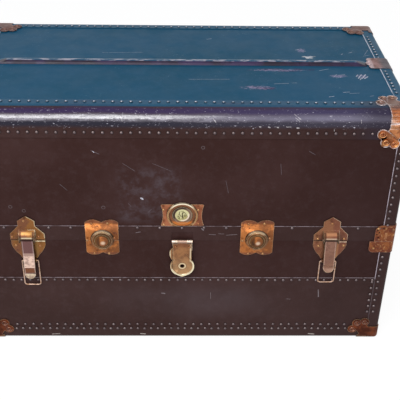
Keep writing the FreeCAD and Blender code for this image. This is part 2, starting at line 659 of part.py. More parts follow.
def hasp_hinge():
    """Fixed leaf under the hasp with its two outer knuckles."""
    y = hasp_y()
    half = HASP_WIDTH / 2 + HASP_CHEEK
    parts = [box(HASP_X - half, HASP_X + half, FACE - PLATE, FACE, LOWER_RIM - HASP_LEAF_DOWN, LOWER_RIM)]
    inner = HASP_MIDDLE / 2 + HINGE_END_PLAY
    for s in (-1, 1):
        x0, x1 = sorted((HASP_X + s * inner, HASP_X + s * half))
        parts.append(rod(vec(x0, y, HASP_Z), X, HASP_BARREL, x1 - x0))
        parts.append(box(x0, x1, y, FACE, HASP_Z - HASP_BARREL, LOWER_RIM))
    bore = rod(vec(HASP_X - 2 * half, y, HASP_Z), X, HASP_PIN_RADIUS, 4 * half)
    return joined(parts).cut(bore)


def hasp_pin():
    return pin(HASP_X, hasp_y(), HASP_Z, HASP_PIN_RADIUS, HASP_WIDTH / 2 + HASP_CHEEK, HASP_PIN_HEAD)


def hasp_outline(radius, tip):
    """Round end with an ogee tip, about the centre of the lock's plug."""
    across, down = [radius * f(math.radians(HASP_SHOULDER)) for f in (math.cos, math.sin)]
    side_across, side_down = [radius * f(math.radians(HASP_SHOULDER / 2)) for f in (math.cos, math.sin)]
    diagonal = radius * math.sqrt(0.5)
    share, below_round = HASP_TIP_WAIST
    return mirrored([(0.0, radius), ((diagonal, diagonal), (radius, 0.0)),
                     ((side_across, -side_down), (across, -down)),
                     ((across * share, below_round - radius), (0.0, -tip))])


def hasp():
    """Strap with a dished round end, a keyhole and a round boss on its outer side."""
    y = hasp_y()
    near = y - HASP_OFFSET
    far = near - HASP_THICK
    centre_z = HASP_Z - HASP_REACH
    shoulder = HASP_Z - HASP_BARREL - HASP_BARREL_PLAY
    half = HASP_WIDTH / 2
    middle = HASP_MIDDLE / 2
    floor_radius, floor_tip = HASP_END_RADIUS - HASP_RIM, HASP_TIP - 1.2 * HASP_RIM
    strap = box(HASP_X - half, HASP_X + half, far, near, centre_z, shoulder)
    disc = front_plate(hasp_outline(HASP_END_RADIUS, HASP_TIP), HASP_X, centre_z, near, HASP_THICK)
    rim = front_plate(hasp_outline(HASP_END_RADIUS, HASP_TIP), HASP_X, centre_z, far, HASP_RIM_HEIGHT)
    dish = front_plate(hasp_outline(floor_radius, floor_tip), HASP_X, centre_z, far, 2 * HASP_RIM_HEIGHT)
    throat = box(HASP_X - half + HASP_RIM, HASP_X + half - HASP_RIM, far - 2 * HASP_RIM_HEIGHT, far,
                 centre_z, HASP_Z)
    neck = box(HASP_X - middle, HASP_X + middle, far, near, shoulder - HASP_THICK, HASP_Z)
    barrel = rod(vec(HASP_X - middle, y, HASP_Z), X, HASP_BARREL, HASP_MIDDLE)
    boss = rod(vec(HASP_X + HASP_BOSS_SIDE, near, HASP_Z - HASP_BOSS_AT), Y, HASP_BOSS_RADIUS,
               HASP_BOSS_THICK)
    crown = [e for e in boss.Edges if abs(e.CenterOfMass.y - near - HASP_BOSS_THICK) < TOUCHING]
    boss = boss.makeChamfer(HASP_BOSS_EDGE, crown)
    hole = rod(vec(HASP_X, near + THROUGH, centre_z), -Y, HASP_HOLE, 2 * THROUGH)
    bore = rod(vec(HASP_X - 2 * half, y, HASP_Z), X, HASP_PIN_RADIUS + PIN_PLAY, 4 * half)
    return joined([strap, disc, rim.cut(dish).cut(throat), neck, barrel, boss]).cut(hole).cut(bore)


# ---- lock --------------------------------------------------------------------------------------
def lock_plate():
    """Waisted plate with a horseshoe ring that the hasp's round end drops into."""
    half, low, high = LOCK_WIDTH / 2, -RING_FLAT, LOCK_HEIGHT - RING_FLAT
    mid = (low + high) / 2
    c = LOCK_CORNER
    bend = ARC * c
    plate = front_plate(mirrored([(0.0, high), (half - c, high),
                                  ((half - bend, high - bend), (half, high - c)),
                                  ((half - LOCK_WAIST, mid), (half, low + c)),
                                  ((half - bend, low + bend), (half - c, low)), (0.0, low)]),
                        HASP_X, LOCK_Z, FACE, PLATE)
    centre = vec(HASP_X, FACE - PLATE, LOCK_Z)
    wall = rod(centre, -Y, RING_OUTER, RING_HEIGHT).cut(rod(centre, -Y, RING_OUTER - RING_WALL, RING_HEIGHT))
    gate_half = HASP_WIDTH / 2 + GATE_PLAY
    gate = box(HASP_X - gate_half, HASP_X + gate_half, -FAR, FAR, LOCK_Z - FAR, LOCK_Z)
    cut_off = box(-FAR, FAR, -FAR, FAR, 0, LOCK_Z - RING_FLAT)
    wall = wall.cut(gate).cut(cut_off)
    step = rod(centre, -Y, INNER_RING_OUTER, INNER_RING_HEIGHT)
    well = rod(centre + vec(0, THROUGH, 0), -Y, PLUG_RADIUS + PLUG_PLAY, 2 * THROUGH)
    return joined([plate, wall, step]).cut(well)


def lock_plug():
    """Turning disc with a key slot, on a round shank."""
    front = FACE - PLATE - INNER_RING_HEIGHT + PLUG_SINK
    back = FACE - PLUG_BACK_PLAY
    end = CASE_BACK - LOCK_CASE_SHEET - PLUG_BACK_PLAY
    disc = rod(vec(HASP_X, back, LOCK_Z), -Y, PLUG_RADIUS, back - front)
    shank = rod(vec(HASP_X, end, LOCK_Z), -Y, PLUG_SHANK, end - back)
    w, h, deep = KEY_SLOT
    slot = box(HASP_X - w / 2, HASP_X + w / 2, front - deep, front + deep, LOCK_Z - h / 2, LOCK_Z + h / 2)
    return joined([disc, shank]).cut(slot)


def lock_cam():
    """Flat cam clamped on the plug's shank inside the lock case."""
    reach, width, thick = CAM
    back = CASE_BACK - LOCK_CASE_SHEET - CAM_BACK_PLAY
    arm = box(HASP_X - width / 2, HASP_X + width / 2, back - thick, back, LOCK_Z - reach, LOCK_Z)
    collar = rod(vec(HASP_X, back, LOCK_Z), -Y, PLUG_SHANK + CAM_COLLAR, thick)
    bore = rod(vec(HASP_X, back + THROUGH, LOCK_Z), -Y, PLUG_SHANK, 2 * THROUGH)
    return joined([arm, collar]).cut(bore)


def lock_case():
    """Sheet case let into the wall behind the lock plate, open round the plug."""
    w, h = LOCK_CASE
    t = LOCK_CASE_SHEET
    outer = box(HASP_X - w / 2, HASP_X + w / 2, FACE, CASE_BACK, LOCK_Z - h / 2, LOCK_Z + h / 2)
    inner = box(HASP_X - w / 2 + t, HASP_X + w / 2 - t, FACE + t, CASE_BACK - t,
                LOCK_Z - h / 2 + t, LOCK_Z + h / 2 - t)
    mouth = rod(vec(HASP_X, FACE + 2 * t, LOCK_Z), -Y, PLUG_SHANK + PLUG_PLAY, 4 * t)
    return outer.cut(inner).cut(mouth)


# ---- back hinges -------------------------------------------------------------------------------
def back_leaf(x, face, rim, up):
    half, r = BACK_HINGE_WIDTH / 2, BACK_LEAF_CORNER
    end = up * BACK_LEAF
    points = mirrored([(0.0, end), (half - r, end),
                       ((half - ARC * r, end - up * ARC * r), (half, end - up * r)),
                       (half, 0.0), (0.0, 0.0)])
    return outline(points, lambda u, v: vec(x + u, face, rim + v)).extrude(vec(0, BACK_LEAF_SHEET, 0))


def back_hinge(x):
    """Lower leaf with two outer knuckles, upper leaf with the middle one, and the pin."""
    half = BACK_HINGE_WIDTH / 2
    third = BACK_HINGE_WIDTH / 6
    y = BACK_FACE + BACK_AXIS_OUT
    gap, thick = BACK_WEB
    bore = rod(vec(x - 2 * half, y, SEAM), X, BACK_PIN_RADIUS, 4 * half)
    wide_bore = rod(vec(x - 2 * half, y, SEAM), X, BACK_PIN_RADIUS + PIN_PLAY, 4 * half)
    lower = [back_leaf(x, BACK_FACE, LOWER_RIM, -1)]
    for x0, x1 in ((x - half, x - third - HINGE_END_PLAY), (x + third + HINGE_END_PLAY, x + half)):
        lower.append(rod(vec(x0, y, SEAM), X, BACK_BARREL, x1 - x0))
        lower.append(box(x0, x1, BACK_FACE, y, LOWER_RIM - gap - thick, LOWER_RIM - gap))
    room = rod(vec(x - third - HINGE_END_PLAY, y, SEAM), X, BACK_BARREL + BACK_BARREL_ROOM,
               2 * third + 2 * HINGE_END_PLAY)
    lower_leaf = joined(lower).cut(bore).cut(room)
    upper = [back_leaf(x, BACK_VALANCE_FACE, LID_RIM, 1),
             rod(vec(x - third, y, SEAM), X, BACK_BARREL, 2 * third),
             box(x - third, x + third, BACK_VALANCE_FACE, y, LID_RIM + gap, LID_RIM + gap + thick)]
    side_room = [rod(vec(x0, y, SEAM), X, BACK_BARREL + BACK_BARREL_ROOM, half)
                 for x0 in (x - third - half, x + third)]
    upper_leaf = joined(upper).cut(wide_bore).cut(joined(side_room))
    return lower_leaf, upper_leaf, pin(x, y, SEAM, BACK_PIN_RADIUS, half, BACK_PIN_HEAD)


# ---- end handles -------------------------------------------------------------------------------
def handle():
    """Leather handle arched over the right end face."""
    half, rise = HANDLE_SPAN / 2, HANDLE_RISE
    low, high = HANDLE_SEAT, HANDLE_SEAT + HANDLE_THICK
    end = HANDLE_SEAT + HANDLE_THICK * HANDLE_SKIVE
    knee = half - LOOP_LENGTH
    inner_knee = knee + INNER_KNEE
    points = [(-half, end), (-knee, high), ((0.0, rise), (knee, high)), (half, end),
              (half, low), (inner_knee, low), ((0.0, rise - HANDLE_THICK), (-inner_knee, low)), (-half, low)]
    z0 = HANDLE_UP - HANDLE_WIDTH / 2
    strap = outline(points, lambda u, v: vec(END_FACE + v, u, z0)).extrude(vec(0, 0, HANDLE_WIDTH))
    return strap.makeChamfer(HANDLE_EDGE, [e for e in strap.Edges if e.BoundBox.ZLength < TOUCHING])


def handle_loops():
    """Steel loops that hold both ends of a handle to the end face."""
    t = LOOP_SHEET
    half = HANDLE_WIDTH / 2 + LOOP_PLAY
    rise = HANDLE_SEAT + HANDLE_THICK + LOOP_PLAY
    foot = half + t + LOOP_FLANGE
    profile = [(-foot, 0.0), (-half, 0.0), (-half, rise), (half, rise), (half, 0.0), (foot, 0.0),
               (foot, t), (half + t, t), (half + t, rise + t), (-half - t, rise + t), (-half - t, t),
               (-foot, t)]
    loops = []
    for s in (-1, 1):
        y0, y1 = sorted((s * (HANDLE_SPAN / 2 - LOOP_LENGTH + LOOP_TO_KNEE),
                         s * (HANDLE_SPAN / 2 + LOOP_OVERHANG)))
        face = outline(profile, lambda u, v, y0=y0: vec(END_FACE + v, y0, HANDLE_UP + u))
        loops.append(face.extrude(vec(0, y1 - y0, 0)))
    return Part.makeCompound(loops)


# ---- all pieces --------------------------------------------------------------------------------
def pair(name, shape, x=0.0):
    """A right-hand piece and its left-hand mirror image about x."""
    return {"right_" + name: shape, "left_" + name: mirror_x(shape, x)}


def build():
    parts = shells()
    parts["lower_front_panel"] = lower_front_panel()
    parts["rim_lip"] = rim_lip()
    frames = end_bindings()
    parts["lower_end_bindings"] = frames.common(below())
    parts["lid_end_bindings"] = frames.common(above())
    parts["lid_front_binding"], parts["lid_back_binding"], parts["lower_long_bindings"] = long_bindings()
    parts["lid_valance"] = lid_valance()
    parts["top_ridge"] = top_ridge()

    round_corner, plain_corner = corner_bracket(True), corner_bracket(False)
    parts.update(pair("front_top_bracket", round_corner))
    parts.update(pair("back_top_bracket", plain_corner))
    parts.update(pair("back_bottom_bracket", flip_z(plain_corner)))
    parts.update(pair("front_bottom_bracket", mirror_y(flip_z(plain_corner))))
    parts["lid_seam_clamps"], parts["lower_seam_clamps"] = seam_clamps()
    parts.update(pair("ridge_clamp", ridge_clamp()))

    parts.update(pair("dowel_boss", dowel_boss(), FITTINGS_X))
    parts.update(pair("dowel_tongue", dowel_tongue(), FITTINGS_X))
    parts.update(pair("latch_plate", latch_plate(), FITTINGS_X))
    parts.update(pair("latch_pin", latch_pin(), FITTINGS_X))
    parts.update(pair("latch_catch", latch_catch(), FITTINGS_X))
    parts["right_latch_strap"] = latch_strap("right")
    parts["left_latch_strap"] = mirror_x(latch_strap("left"), FITTINGS_X)
    parts["right_latch_bail"] = latch_bail("right")
    parts["left_latch_bail"] = mirror_x(latch_bail("left"), FITTINGS_X)

    parts["hasp_hinge"] = hasp_hinge()
    parts["hasp_pin"] = hasp_pin()
    parts["hasp"] = hasp()
    parts["lock_plate"] = lock_plate()
    parts["lock_case"] = lock_case()
    parts["lock_plug"] = lock_plug()
    parts["lock_cam"] = lock_cam()

    pins = []
    for side, x in (("left", -BACK_HINGE_X), ("middle", 0.0), ("right", BACK_HINGE_X)):
        lower_leaf, upper_leaf, hinge_pin = back_hinge(x)
        parts[side + "_hinge_lower_leaf"] = lower_leaf
        parts[side + "_hinge_upper_leaf"] = upper_leaf
        pins.append(hinge_pin)
    parts["back_hinge_pins"] = Part.makeCompound(pins)

    parts.update(pair("handle", handle()))
    parts.update(pair("handle_loops", handle_loops()))
    return parts


def main():
    os.makedirs("parts", exist_ok=True)
    for name, shape in build().items():
        shape.exportStep("parts/" + name + ".step")
        print(name, len(shape.Solids), round(shape.Volume), shape.isValid())


main()
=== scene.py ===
import json
import math
import random

import bpy
from mathutils import Matrix, Vector

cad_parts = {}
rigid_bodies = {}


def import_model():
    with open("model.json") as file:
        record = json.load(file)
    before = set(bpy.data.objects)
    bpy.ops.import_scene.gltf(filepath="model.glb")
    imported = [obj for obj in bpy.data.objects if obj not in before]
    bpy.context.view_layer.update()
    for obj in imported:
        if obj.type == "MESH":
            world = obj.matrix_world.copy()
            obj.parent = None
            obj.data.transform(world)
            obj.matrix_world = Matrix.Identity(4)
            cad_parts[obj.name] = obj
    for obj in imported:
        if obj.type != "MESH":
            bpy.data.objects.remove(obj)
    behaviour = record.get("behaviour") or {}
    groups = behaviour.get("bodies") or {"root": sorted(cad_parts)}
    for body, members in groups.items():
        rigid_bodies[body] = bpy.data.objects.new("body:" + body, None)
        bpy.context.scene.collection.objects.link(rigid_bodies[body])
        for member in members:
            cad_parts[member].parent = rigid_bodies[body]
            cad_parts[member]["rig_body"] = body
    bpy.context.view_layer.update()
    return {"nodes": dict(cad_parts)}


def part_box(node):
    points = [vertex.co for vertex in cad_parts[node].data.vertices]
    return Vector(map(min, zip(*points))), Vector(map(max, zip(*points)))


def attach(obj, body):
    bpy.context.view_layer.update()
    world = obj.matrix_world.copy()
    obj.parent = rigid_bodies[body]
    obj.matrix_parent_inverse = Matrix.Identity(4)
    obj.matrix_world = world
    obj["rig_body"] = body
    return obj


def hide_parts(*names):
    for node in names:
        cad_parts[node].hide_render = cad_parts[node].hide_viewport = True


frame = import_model()

bl_info = {
    "name": "Travel Trunk Finish",
    "version": (1, 0, 0),
    "blender": (4, 5, 0),
    "location": "View3D > Sidebar > Trunk",
    "description": "Finishes, nails, rivets and pressed reliefs for a fibre-covered travel trunk",
    "category": "Object",
}

MM = 0.001
SIDES = ("left", "right")
FORWARD, BACKWARD, UPWARD = (0, -1, 0), (0, 1, 0), (0, 0, 1)


def middle(node):
    low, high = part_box(node)
    return 0.5 * (low + high)


# ---- faces of the case, read from the frame (metres) --------------------------------------------
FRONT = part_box("lid_end_bindings")[0].y
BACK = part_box("lid_end_bindings")[1].y
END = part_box("lid_end_bindings")[1].x
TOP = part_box("lid_end_bindings")[1].z
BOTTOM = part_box("lower_end_bindings")[0].z
LID_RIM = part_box("lid_valance")[0].z
LOWER_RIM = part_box("lower_end_bindings")[1].z
VALANCE_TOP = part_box("lid_valance")[1].z
VALANCE_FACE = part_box("lid_valance")[0].y
VALANCE_END = -VALANCE_FACE * END / BACK
PANEL_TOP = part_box("lower_front_panel")[1].z
PANEL_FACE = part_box("lower_front_panel")[0].y
END_STRIP_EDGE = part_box("lid_front_binding")[1].x
RIDGE_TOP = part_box("top_ridge")[1].z
RIDGE_Y = middle("top_ridge").y
COVER_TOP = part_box("lid_covering")[1].z
COVER_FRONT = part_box("lid_covering")[0].y
LOCK = middle("lock_plug")
PLATE_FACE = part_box("left_latch_catch")[0].y
BRACKET_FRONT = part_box("right_front_bottom_bracket")[0].y
BRACKET = FRONT - BRACKET_FRONT
HASP_PROUD = 3.0 * MM              # face of the hasp before its pin's axis
HASP_FACE = middle("hasp_pin").y - HASP_PROUD


def shade(code):
    """Linear colour, with alpha, of a six-figure screen colour."""
    parts = [int(code[i:i + 2], 16) / 255 for i in (0, 2, 4)]
    return [((c + 0.055) / 1.055) ** 2.4 if c > 0.04045 else c / 12.92 for c in parts] + [1.0]


def colour(name, description, code):
    return bpy.props.FloatVectorProperty(name=name, description=description, default=shade(code),
                                         size=4, min=0.0, max=1.0, subtype="COLOR")


def length(name, description, metres):
    return bpy.props.FloatProperty(name=name, description=description, default=metres,
                                   min=0.0, unit="LENGTH")


def angle(name, description, degrees):
    return bpy.props.FloatProperty(name=name, description=description, default=math.radians(degrees),
                                   subtype="ANGLE")


# ---- settings ----------------------------------------------------------------------------------
class TrunkFinishSettings(bpy.types.PropertyGroup):
    """Colours of the enamel, the plated steel and the trim."""

    fibre: colour("Fibre", "Enamel on the front, back and ends", "37221F")
    fibre_aged: colour("Aged fibre", "Where the enamel has gone dull", "402B29")
    # the top's colours are a painted reflection of bluish surroundings in the black enamel, and its faded
    # patches
    top_reflection: colour("Top enamel", "Enamel on the top face", "084660")
    top_reflection_faded: colour("Aged top", "Where the top enamel has faded", "184C69")
    # painted violet reflection where the enamel turns over the front edge and on the ridge's front slope;
    # smears on the top take this colour too
    round_reflection: colour("Round enamel", "Enamel where it turns over the front edge", "382B4C")
    brass: colour("Brass plating", "Plating where it is still bright", "B06C3A")
    brass_tan: colour("Tan plating", "Plating gone brown", "83502F")
    rust: colour("Rust", "Steel showing through the plating", "55281B")
    # pale brass is also the colour of most plates' pale edges, partly wear and partly a painted highlight
    pale_brass: colour("Pale brass", "Handled edges of the lock and the hasp", "E2CFA8")
    plug: colour("Plug", "Cast face of the turning plug", "D8D2A0")
    wire: colour("Wire", "Drawn wire and pins", "C6A592")
    leather: colour("Leather", "Handle straps", "3A2418")
    cloth: colour("Cloth", "Lining", "8E8068")
    plywood: colour("Plywood", "Raw edges of the boxes", "B48F62")


class TrunkNailSettings(bpy.types.PropertyGroup):
    """Sizes and spacing of nails, rivets and pressed scrolls."""

    radius: length("Nail radius", "Radius of a nail's domed head", 3.6 * MM)
    height: length("Nail height", "Height of a nail's domed head", 1.5 * MM)
    pitch: length("Pitch", "Distance between binding nails", 18.2 * MM)
    valance_pitch: length("Valance pitch", "Distance between valance nails", 48.0 * MM)
    rivet_radius: length("Rivet radius", "Radius of a rivet's head", 3.0 * MM)
    rivet_height: length("Rivet height", "Height of a rivet's head", 1.9 * MM)
    wander: length("Wander", "How far a nail strays from its row", 0.5 * MM)
    scroll_radius: length("Scroll radius", "Outer radius of a bracket's pressed scroll", 9.0 * MM)


class TrunkStageSettings(bpy.types.PropertyGroup):
    """Floor, lamps and camera."""

    floor: colour("Floor", "Colour of the floor", "FFFFFF")
    ambient: bpy.props.FloatProperty(name="Ambient", description="Light from all round",
                                     default=0.42, min=0.0)
    key_power: bpy.props.FloatProperty(name="Key power", description="Power of the large soft lamp",
                                       default=78.0, min=0.0, unit="POWER")
    lens: bpy.props.FloatProperty(name="Lens", description="Focal length in millimetres",
                                  default=71.589, min=1.0)
    camera: bpy.props.FloatVectorProperty(name="Camera", description="Where the camera stands",
                                          default=(0.00184, -1.62453, 1.28052), unit="LENGTH")
    pitch: angle("Pitch", "How far the camera looks down", 32.888)
    yaw: angle("Yaw", "How far the camera turns to the left", -1.474)
    roll: angle("Roll", "How far the camera leans", 1.016)


# ---- node materials ----------------------------------------------------------------------------
class Nodes:
    """Adds and links the nodes of a material or of the surroundings."""

    def __init__(self, tree):
        self.tree = tree

    def put(self, socket, value):
        """Links a socket, or sets it to a number, a vector, a colour or a six-figure colour code."""
        if isinstance(value, bpy.types.NodeSocket):
            self.tree.links.new(value, socket)
        else:
            socket.default_value = shade(value) if isinstance(value, str) else value

    def add(self, kind, inputs=None, **settings):
        node = self.tree.nodes.new(kind)
        for name, value in settings.items():
            setattr(node, name, value)
        for name, value in (inputs or {}).items():
            self.put(node.inputs[name], value)
        return node

    def maths(self, operation, a, b=0.0):
        return self.add("ShaderNodeMath", {0: a, 1: b}, operation=operation).outputs[0]

    def plus(self, a, b):
        return self.maths("ADD", a, b)

    def less(self, a, b):
        return self.maths("SUBTRACT", a, b)

    def times(self, whole, *factors):
        for factor in factors:
            whole = self.maths("MULTIPLY", whole, factor)
        return whole

    def off(self, value, level):
        """How far a value is from a level, up or down."""
        return self.maths("ABSOLUTE", self.less(value, level))

    def most(self, masks):
        whole = masks[0]
        for mask in masks[1:]:
            whole = self.maths("MAXIMUM", whole, mask)
        return whole

    def seen(self):
        """1 for what the camera sees, straight, mirrored or through glass."""
        rays = self.add("ShaderNodeLightPath").outputs
        return self.most([rays[kind] for kind in ("Is Camera Ray", "Is Glossy Ray", "Is Transmission Ray")])


class Finish(Nodes):
    """A node material under construction: its base colour is built up layer by layer."""

    def __init__(self, name, base=None):
        self.material = bpy.data.materials.new(name)
        self.material.use_nodes = True
        super().__init__(self.material.node_tree)
        self.shader = self.tree.nodes["Principled BSDF"]
        self.spot = self.add("ShaderNodeTexCoord").outputs["Object"]
        self.x, self.y, self.z = self.add("ShaderNodeSeparateXYZ", {"Vector": self.spot}).outputs
        self.base = base
        self.grain = None

    def ramp(self, value, low, high, to_low=0.0, to_high=1.0):
        """Smooth step of a value between two levels."""
        inputs = {"Value": value, "From Min": low, "From Max": high, "To Min": to_low, "To Max": to_high}
        return self.add("ShaderNodeMapRange", inputs, interpolation_type="SMOOTHSTEP").outputs[0]

    def band(self, value, low, high, soft):
        """1 between two levels."""
        rise = self.ramp(value, low - soft, low + soft)
        return self.times(rise, self.ramp(value, high + soft, high - soft))

    def moved(self, stretch=(1, 1, 1), offset=(0, 0, 0), turn=(0, 0, 0)):
        inputs = {"Vector": self.spot, "Scale": stretch, "Location": offset, "Rotation": turn}
        return self.add("ShaderNodeMapping", inputs).outputs[0]

    def noise(self, scale, detail=4.0, rough=0.6, **place):
        inputs = {"Vector": self.moved(**place), "Scale": scale, "Detail": detail, "Roughness": rough}
        return self.add("ShaderNodeTexNoise", inputs).outputs["Fac"]

    def waves(self, scale, axis, distortion=0.0):
        inputs = {"Vector": self.spot, "Scale": scale, "Distortion": distortion}
        return self.add("ShaderNodeTexWave", inputs, bands_direction=axis).outputs["Fac"]

    def blend(self, share, a, b):
        """Colour a where share is 0, b where it is 1."""
        node = self.add("ShaderNodeMix", {0: share}, data_type="RGBA")
        self.put(node.inputs[6], a)
        self.put(node.inputs[7], b)
        return node.outputs[2]

    def tint(self, tone, *shares):
        """Lays a colour over the base, in a share that is the product of the shares given."""
        self.base = self.blend(self.times(*shares), self.base, tone)

    def vector(self, operation, a, b=(0, 0, 0)):
        node = self.add("ShaderNodeVectorMath", {0: a, 1: b}, operation=operation)
        return node.outputs["Value" if operation in ("DOT_PRODUCT", "DISTANCE") else "Vector"]

    def reach(self, a, b):
        """Length of a slope from its two legs."""
        return self.maths("SQRT", self.plus(self.times(a, a), self.times(b, b)))

    def stroke(self, start, end, half):
        """1 near the line between two points given in millimetres, its sides broken by noise."""
        start, end = Vector(start) * MM, Vector(end) * MM
        unit = (end - start).normalized()
        away = self.vector("SUBTRACT", self.spot, start)
        along = self.maths("MAXIMUM", self.vector("DOT_PRODUCT", away, unit), 0.0)
        along = self.maths("MINIMUM", along, (end - start).length)
        foot = self.add("ShaderNodeVectorMath", {0: unit, "Scale": along}, operation="SCALE")
        return self.broken(self.vector("DISTANCE", away, foot.outputs["Vector"]), half)

    def ring(self, centre, radius, half):
        """1 near a circle about a point, both given in millimetres."""
        far = self.vector("DISTANCE", self.spot, Vector(centre) * MM)
        return self.broken(self.off(far, radius * MM), half)

    def broken(self, far, half):
        """1 within half a width of a line, ragged by a fine grain."""
        if self.grain is None:
            self.grain = self.less(self.noise(420.0, detail=3.0), 0.5)
        ragged = self.plus(far, self.times(self.grain, 3.0 * half * MM))
        return self.ramp(ragged, 1.3 * half * MM, 0.6 * half * MM)

    def scratch(self, tone, strokes, share):
        self.tint(tone, self.most([self.stroke(*stroke) for stroke in strokes]), share)

    def edges(self, radius):
        """1 along the sharp edges of the piece."""
        rolled = self.add("ShaderNodeBevel", {"Radius": radius}, samples=6).outputs[0]
        flat = self.add("ShaderNodeNewGeometry").outputs["Normal"]
        return self.ramp(self.vector("DOT_PRODUCT", rolled, flat), 0.97, 0.85)

    def relief(self, height, strength, distance):
        inputs = {"Height": height, "Strength": strength, "Distance": distance}
        self.put(self.shader.inputs["Normal"], self.add("ShaderNodeBump", inputs).outputs[0])

    def surface(self, roughness, metallic=0.0, specular=0.5, coat=0.0):
        for socket, value in (("Base Color", self.base), ("Roughness", roughness), ("Metallic", metallic),
                              ("Specular IOR Level", specular), ("Coat Weight", coat)):
            self.put(self.shader.inputs[socket], value)
        return self.material


class Enamel(Finish):
    """Enamelled fibre: brown on the sides, with a painted blue-green reflection of bluish surroundings on
    the top.
    """

    def __init__(self, name, s, top_from, top_full):
        super().__init__(name)
        fine = self.noise(70.0, detail=5.0, rough=0.7)
        # painted reflection on the top face, faded in patches
        faded = self.ramp(self.noise(3.2, detail=5.0, offset=(3, 1, 0)), 0.35, 0.65)
        top = self.blend(faded, s.top_reflection, s.top_reflection_faded)
        top = self.blend(self.ramp(fine, 0.45, 0.75, 0.0, 0.2), top, "326082")
        dull = self.ramp(self.noise(5.0, detail=6.0, rough=0.65), 0.38, 0.72)
        self.base = self.blend(dull, s.fibre, s.fibre_aged)
        self.tint("5A4A4C", self.ramp(fine, 0.45, 0.75, 0.0, 0.15))
        self.tint("2C1B1B", self.ramp(self.x, 60 * MM, END, 0.0, 0.4))
        self.above = self.ramp(self.z, top_from, top_full)
        self.tint(top, self.above)

    def pebbled(self, scale, specular):
        """Ends the finish with a fine relief and an uneven gloss."""
        self.relief(self.noise(scale, detail=3.0), 0.12, 0.4 * MM)
        return self.surface(self.ramp(self.noise(20.0), 0.3, 0.7, 0.3, 0.45), specular=specular)


class Plating(Finish):
    """Brass-plated pressed steel: tarnish clouds, rust blooms, pits, painted shade in the corners and pale
    edges that are partly wear, partly a painted highlight.
    """

    def __init__(self, name, s, bright, dull, rust_share, roughness=0.4, lean=None):
        super().__init__(name)
        self.settings = s
        clouds = self.noise(48.0, detail=6.0, rough=0.62)
        share = self.ramp(clouds, 0.4, 0.62)
        if lean is not None:
            across = self.ramp(self.x, lean - 12 * MM, lean + 14 * MM, -0.08, 0.12)
            share = self.ramp(self.plus(clouds, across), 0.42, 0.58)
        self.base = self.blend(share, bright, dull)
        bloom = self.ramp(self.noise(85.0, detail=8.0, rough=0.72, offset=(2, 5, 1)),
                          0.66 - 0.3 * rust_share, 0.72 - 0.16 * rust_share)
        self.tint(s.rust, bloom, 0.85)
        self.tint("2A1610", self.ramp(self.noise(900.0, detail=2.0), 0.6, 0.68), 0.5)
        rough = self.ramp(clouds, 0.35, 0.7, roughness - 0.08, roughness + 0.14)
        self.rough = self.plus(rough, self.times(bloom, 0.25))
        self.metal = self.ramp(bloom, 0.0, 1.0, 0.88, 0.35)
        dents = self.plus(self.noise(260.0, detail=4.0), self.times(clouds, 1.5))
        self.relief(dents, 0.3, 0.3 * MM)

    def far_from(self, centre):
        """Offsets and distance from an axis that runs through a point, front to back."""
        dx, dz = self.less(self.x, centre.x), self.less(self.z, centre.z)
        return dx, dz, self.reach(dx, dz)

    def rings(self, centre, steps):
        """Concentric bands (inner radius, outer radius, colour, share) about a point, millimetres."""
        dx, dz, far = self.far_from(centre)
        for inner, outer, code, share in steps:
            self.tint(code, self.band(far, inner * MM, outer * MM, 0.4 * MM), share)
        return dx, dz, far

    def done(self, wear_and_sheen=0.7, corner_shade=0.6, rim=1.8 * MM, pale=None):
        """Painted shade in the corners, pale metal along the edges: wear and a painted highlight."""
        inputs = {"Distance": 5 * MM}
        occlusion = self.add("ShaderNodeAmbientOcclusion", inputs, samples=6, only_local=False).outputs["AO"]
        # painted shade in the corners; pale edges, partly wear and partly a painted highlight
        self.tint("24140D", self.ramp(occlusion, 0.75, 0.3, 0.0, corner_shade))
        self.tint(pale or self.settings.pale_brass, self.edges(rim), wear_and_sheen)
        return self.surface(self.rough, metallic=self.metal)


# ---- wear of the fibre -------------------------------------------------------------------------
# worn patches on the top: place (x, y), half length and half width in metres, scale of the grain
CHIPS = [((0.283, 0.042), 0.020, 0.014, 120.0)]
SCUFFS = [((0.384, -0.060), 0.016, 0.014, 260.0), ((0.332, -0.059), 0.024, 0.011, 220.0),
          ((0.156, -0.120), 0.044, 0.013, 190.0), ((0.205, -0.030), 0.080, 0.009, 260.0),
          ((0.270, 0.082), 0.014, 0.018, 260.0)]
SMEARS = [((0.158, -0.121), 0.045, 0.012, 60.0), ((0.215, -0.028), 0.095, 0.013, 80.0)]
# scratches as (start, end, half width) in millimetres: (x, y) on the top, (x, z) on the front
TOP_BRIGHT = [((374, -70), (384, -51), 1.0), ((376, -78), (381, -68), 0.6), ((382, -71), (393, -50), 1.0),
              ((387, -71), (396, -61), 1.0), ((371, -61), (376, -52), 0.8), ((276, 43), (290, 46), 1.8),
              ((298, -162), (308, -159), 0.7), ((330, -140), (344, -138), 0.6)]
TOP_FAINT = [((14, -81), (100, -79), 0.6), ((57, 146), (67, 149), 1.0), ((258, 84), (266, 88), 1.2),
             ((274, 78), (281, 77), 0.8), ((322, -65), (331, -50), 0.8), ((333, -55), (348, -50), 0.9),
             ((327, -69), (337, -66), 0.9), ((343, -145), (362, -143), 0.8), ((382, -158), (390, -155), 0.9),
             ((378, 69), (386, 74), 0.9), ((412, 60), (424, 86), 0.5), ((407, 51), (422, 57), 0.7),
             ((297, -31), (317, -22), 0.9), ((359, 59), (363, 64), 0.9), ((192, -101), (222, -98), 0.8),
             ((230, -96), (240, -95), 0.6), ((150, 20), (215, 28), 0.6), ((-180, 60), (-90, 64), 0.5)]
LID_FRONT_BRIGHT = [((-85, 387), (-81, 384), 1.6), ((-178, 497), (-176, 495), 0.9)]
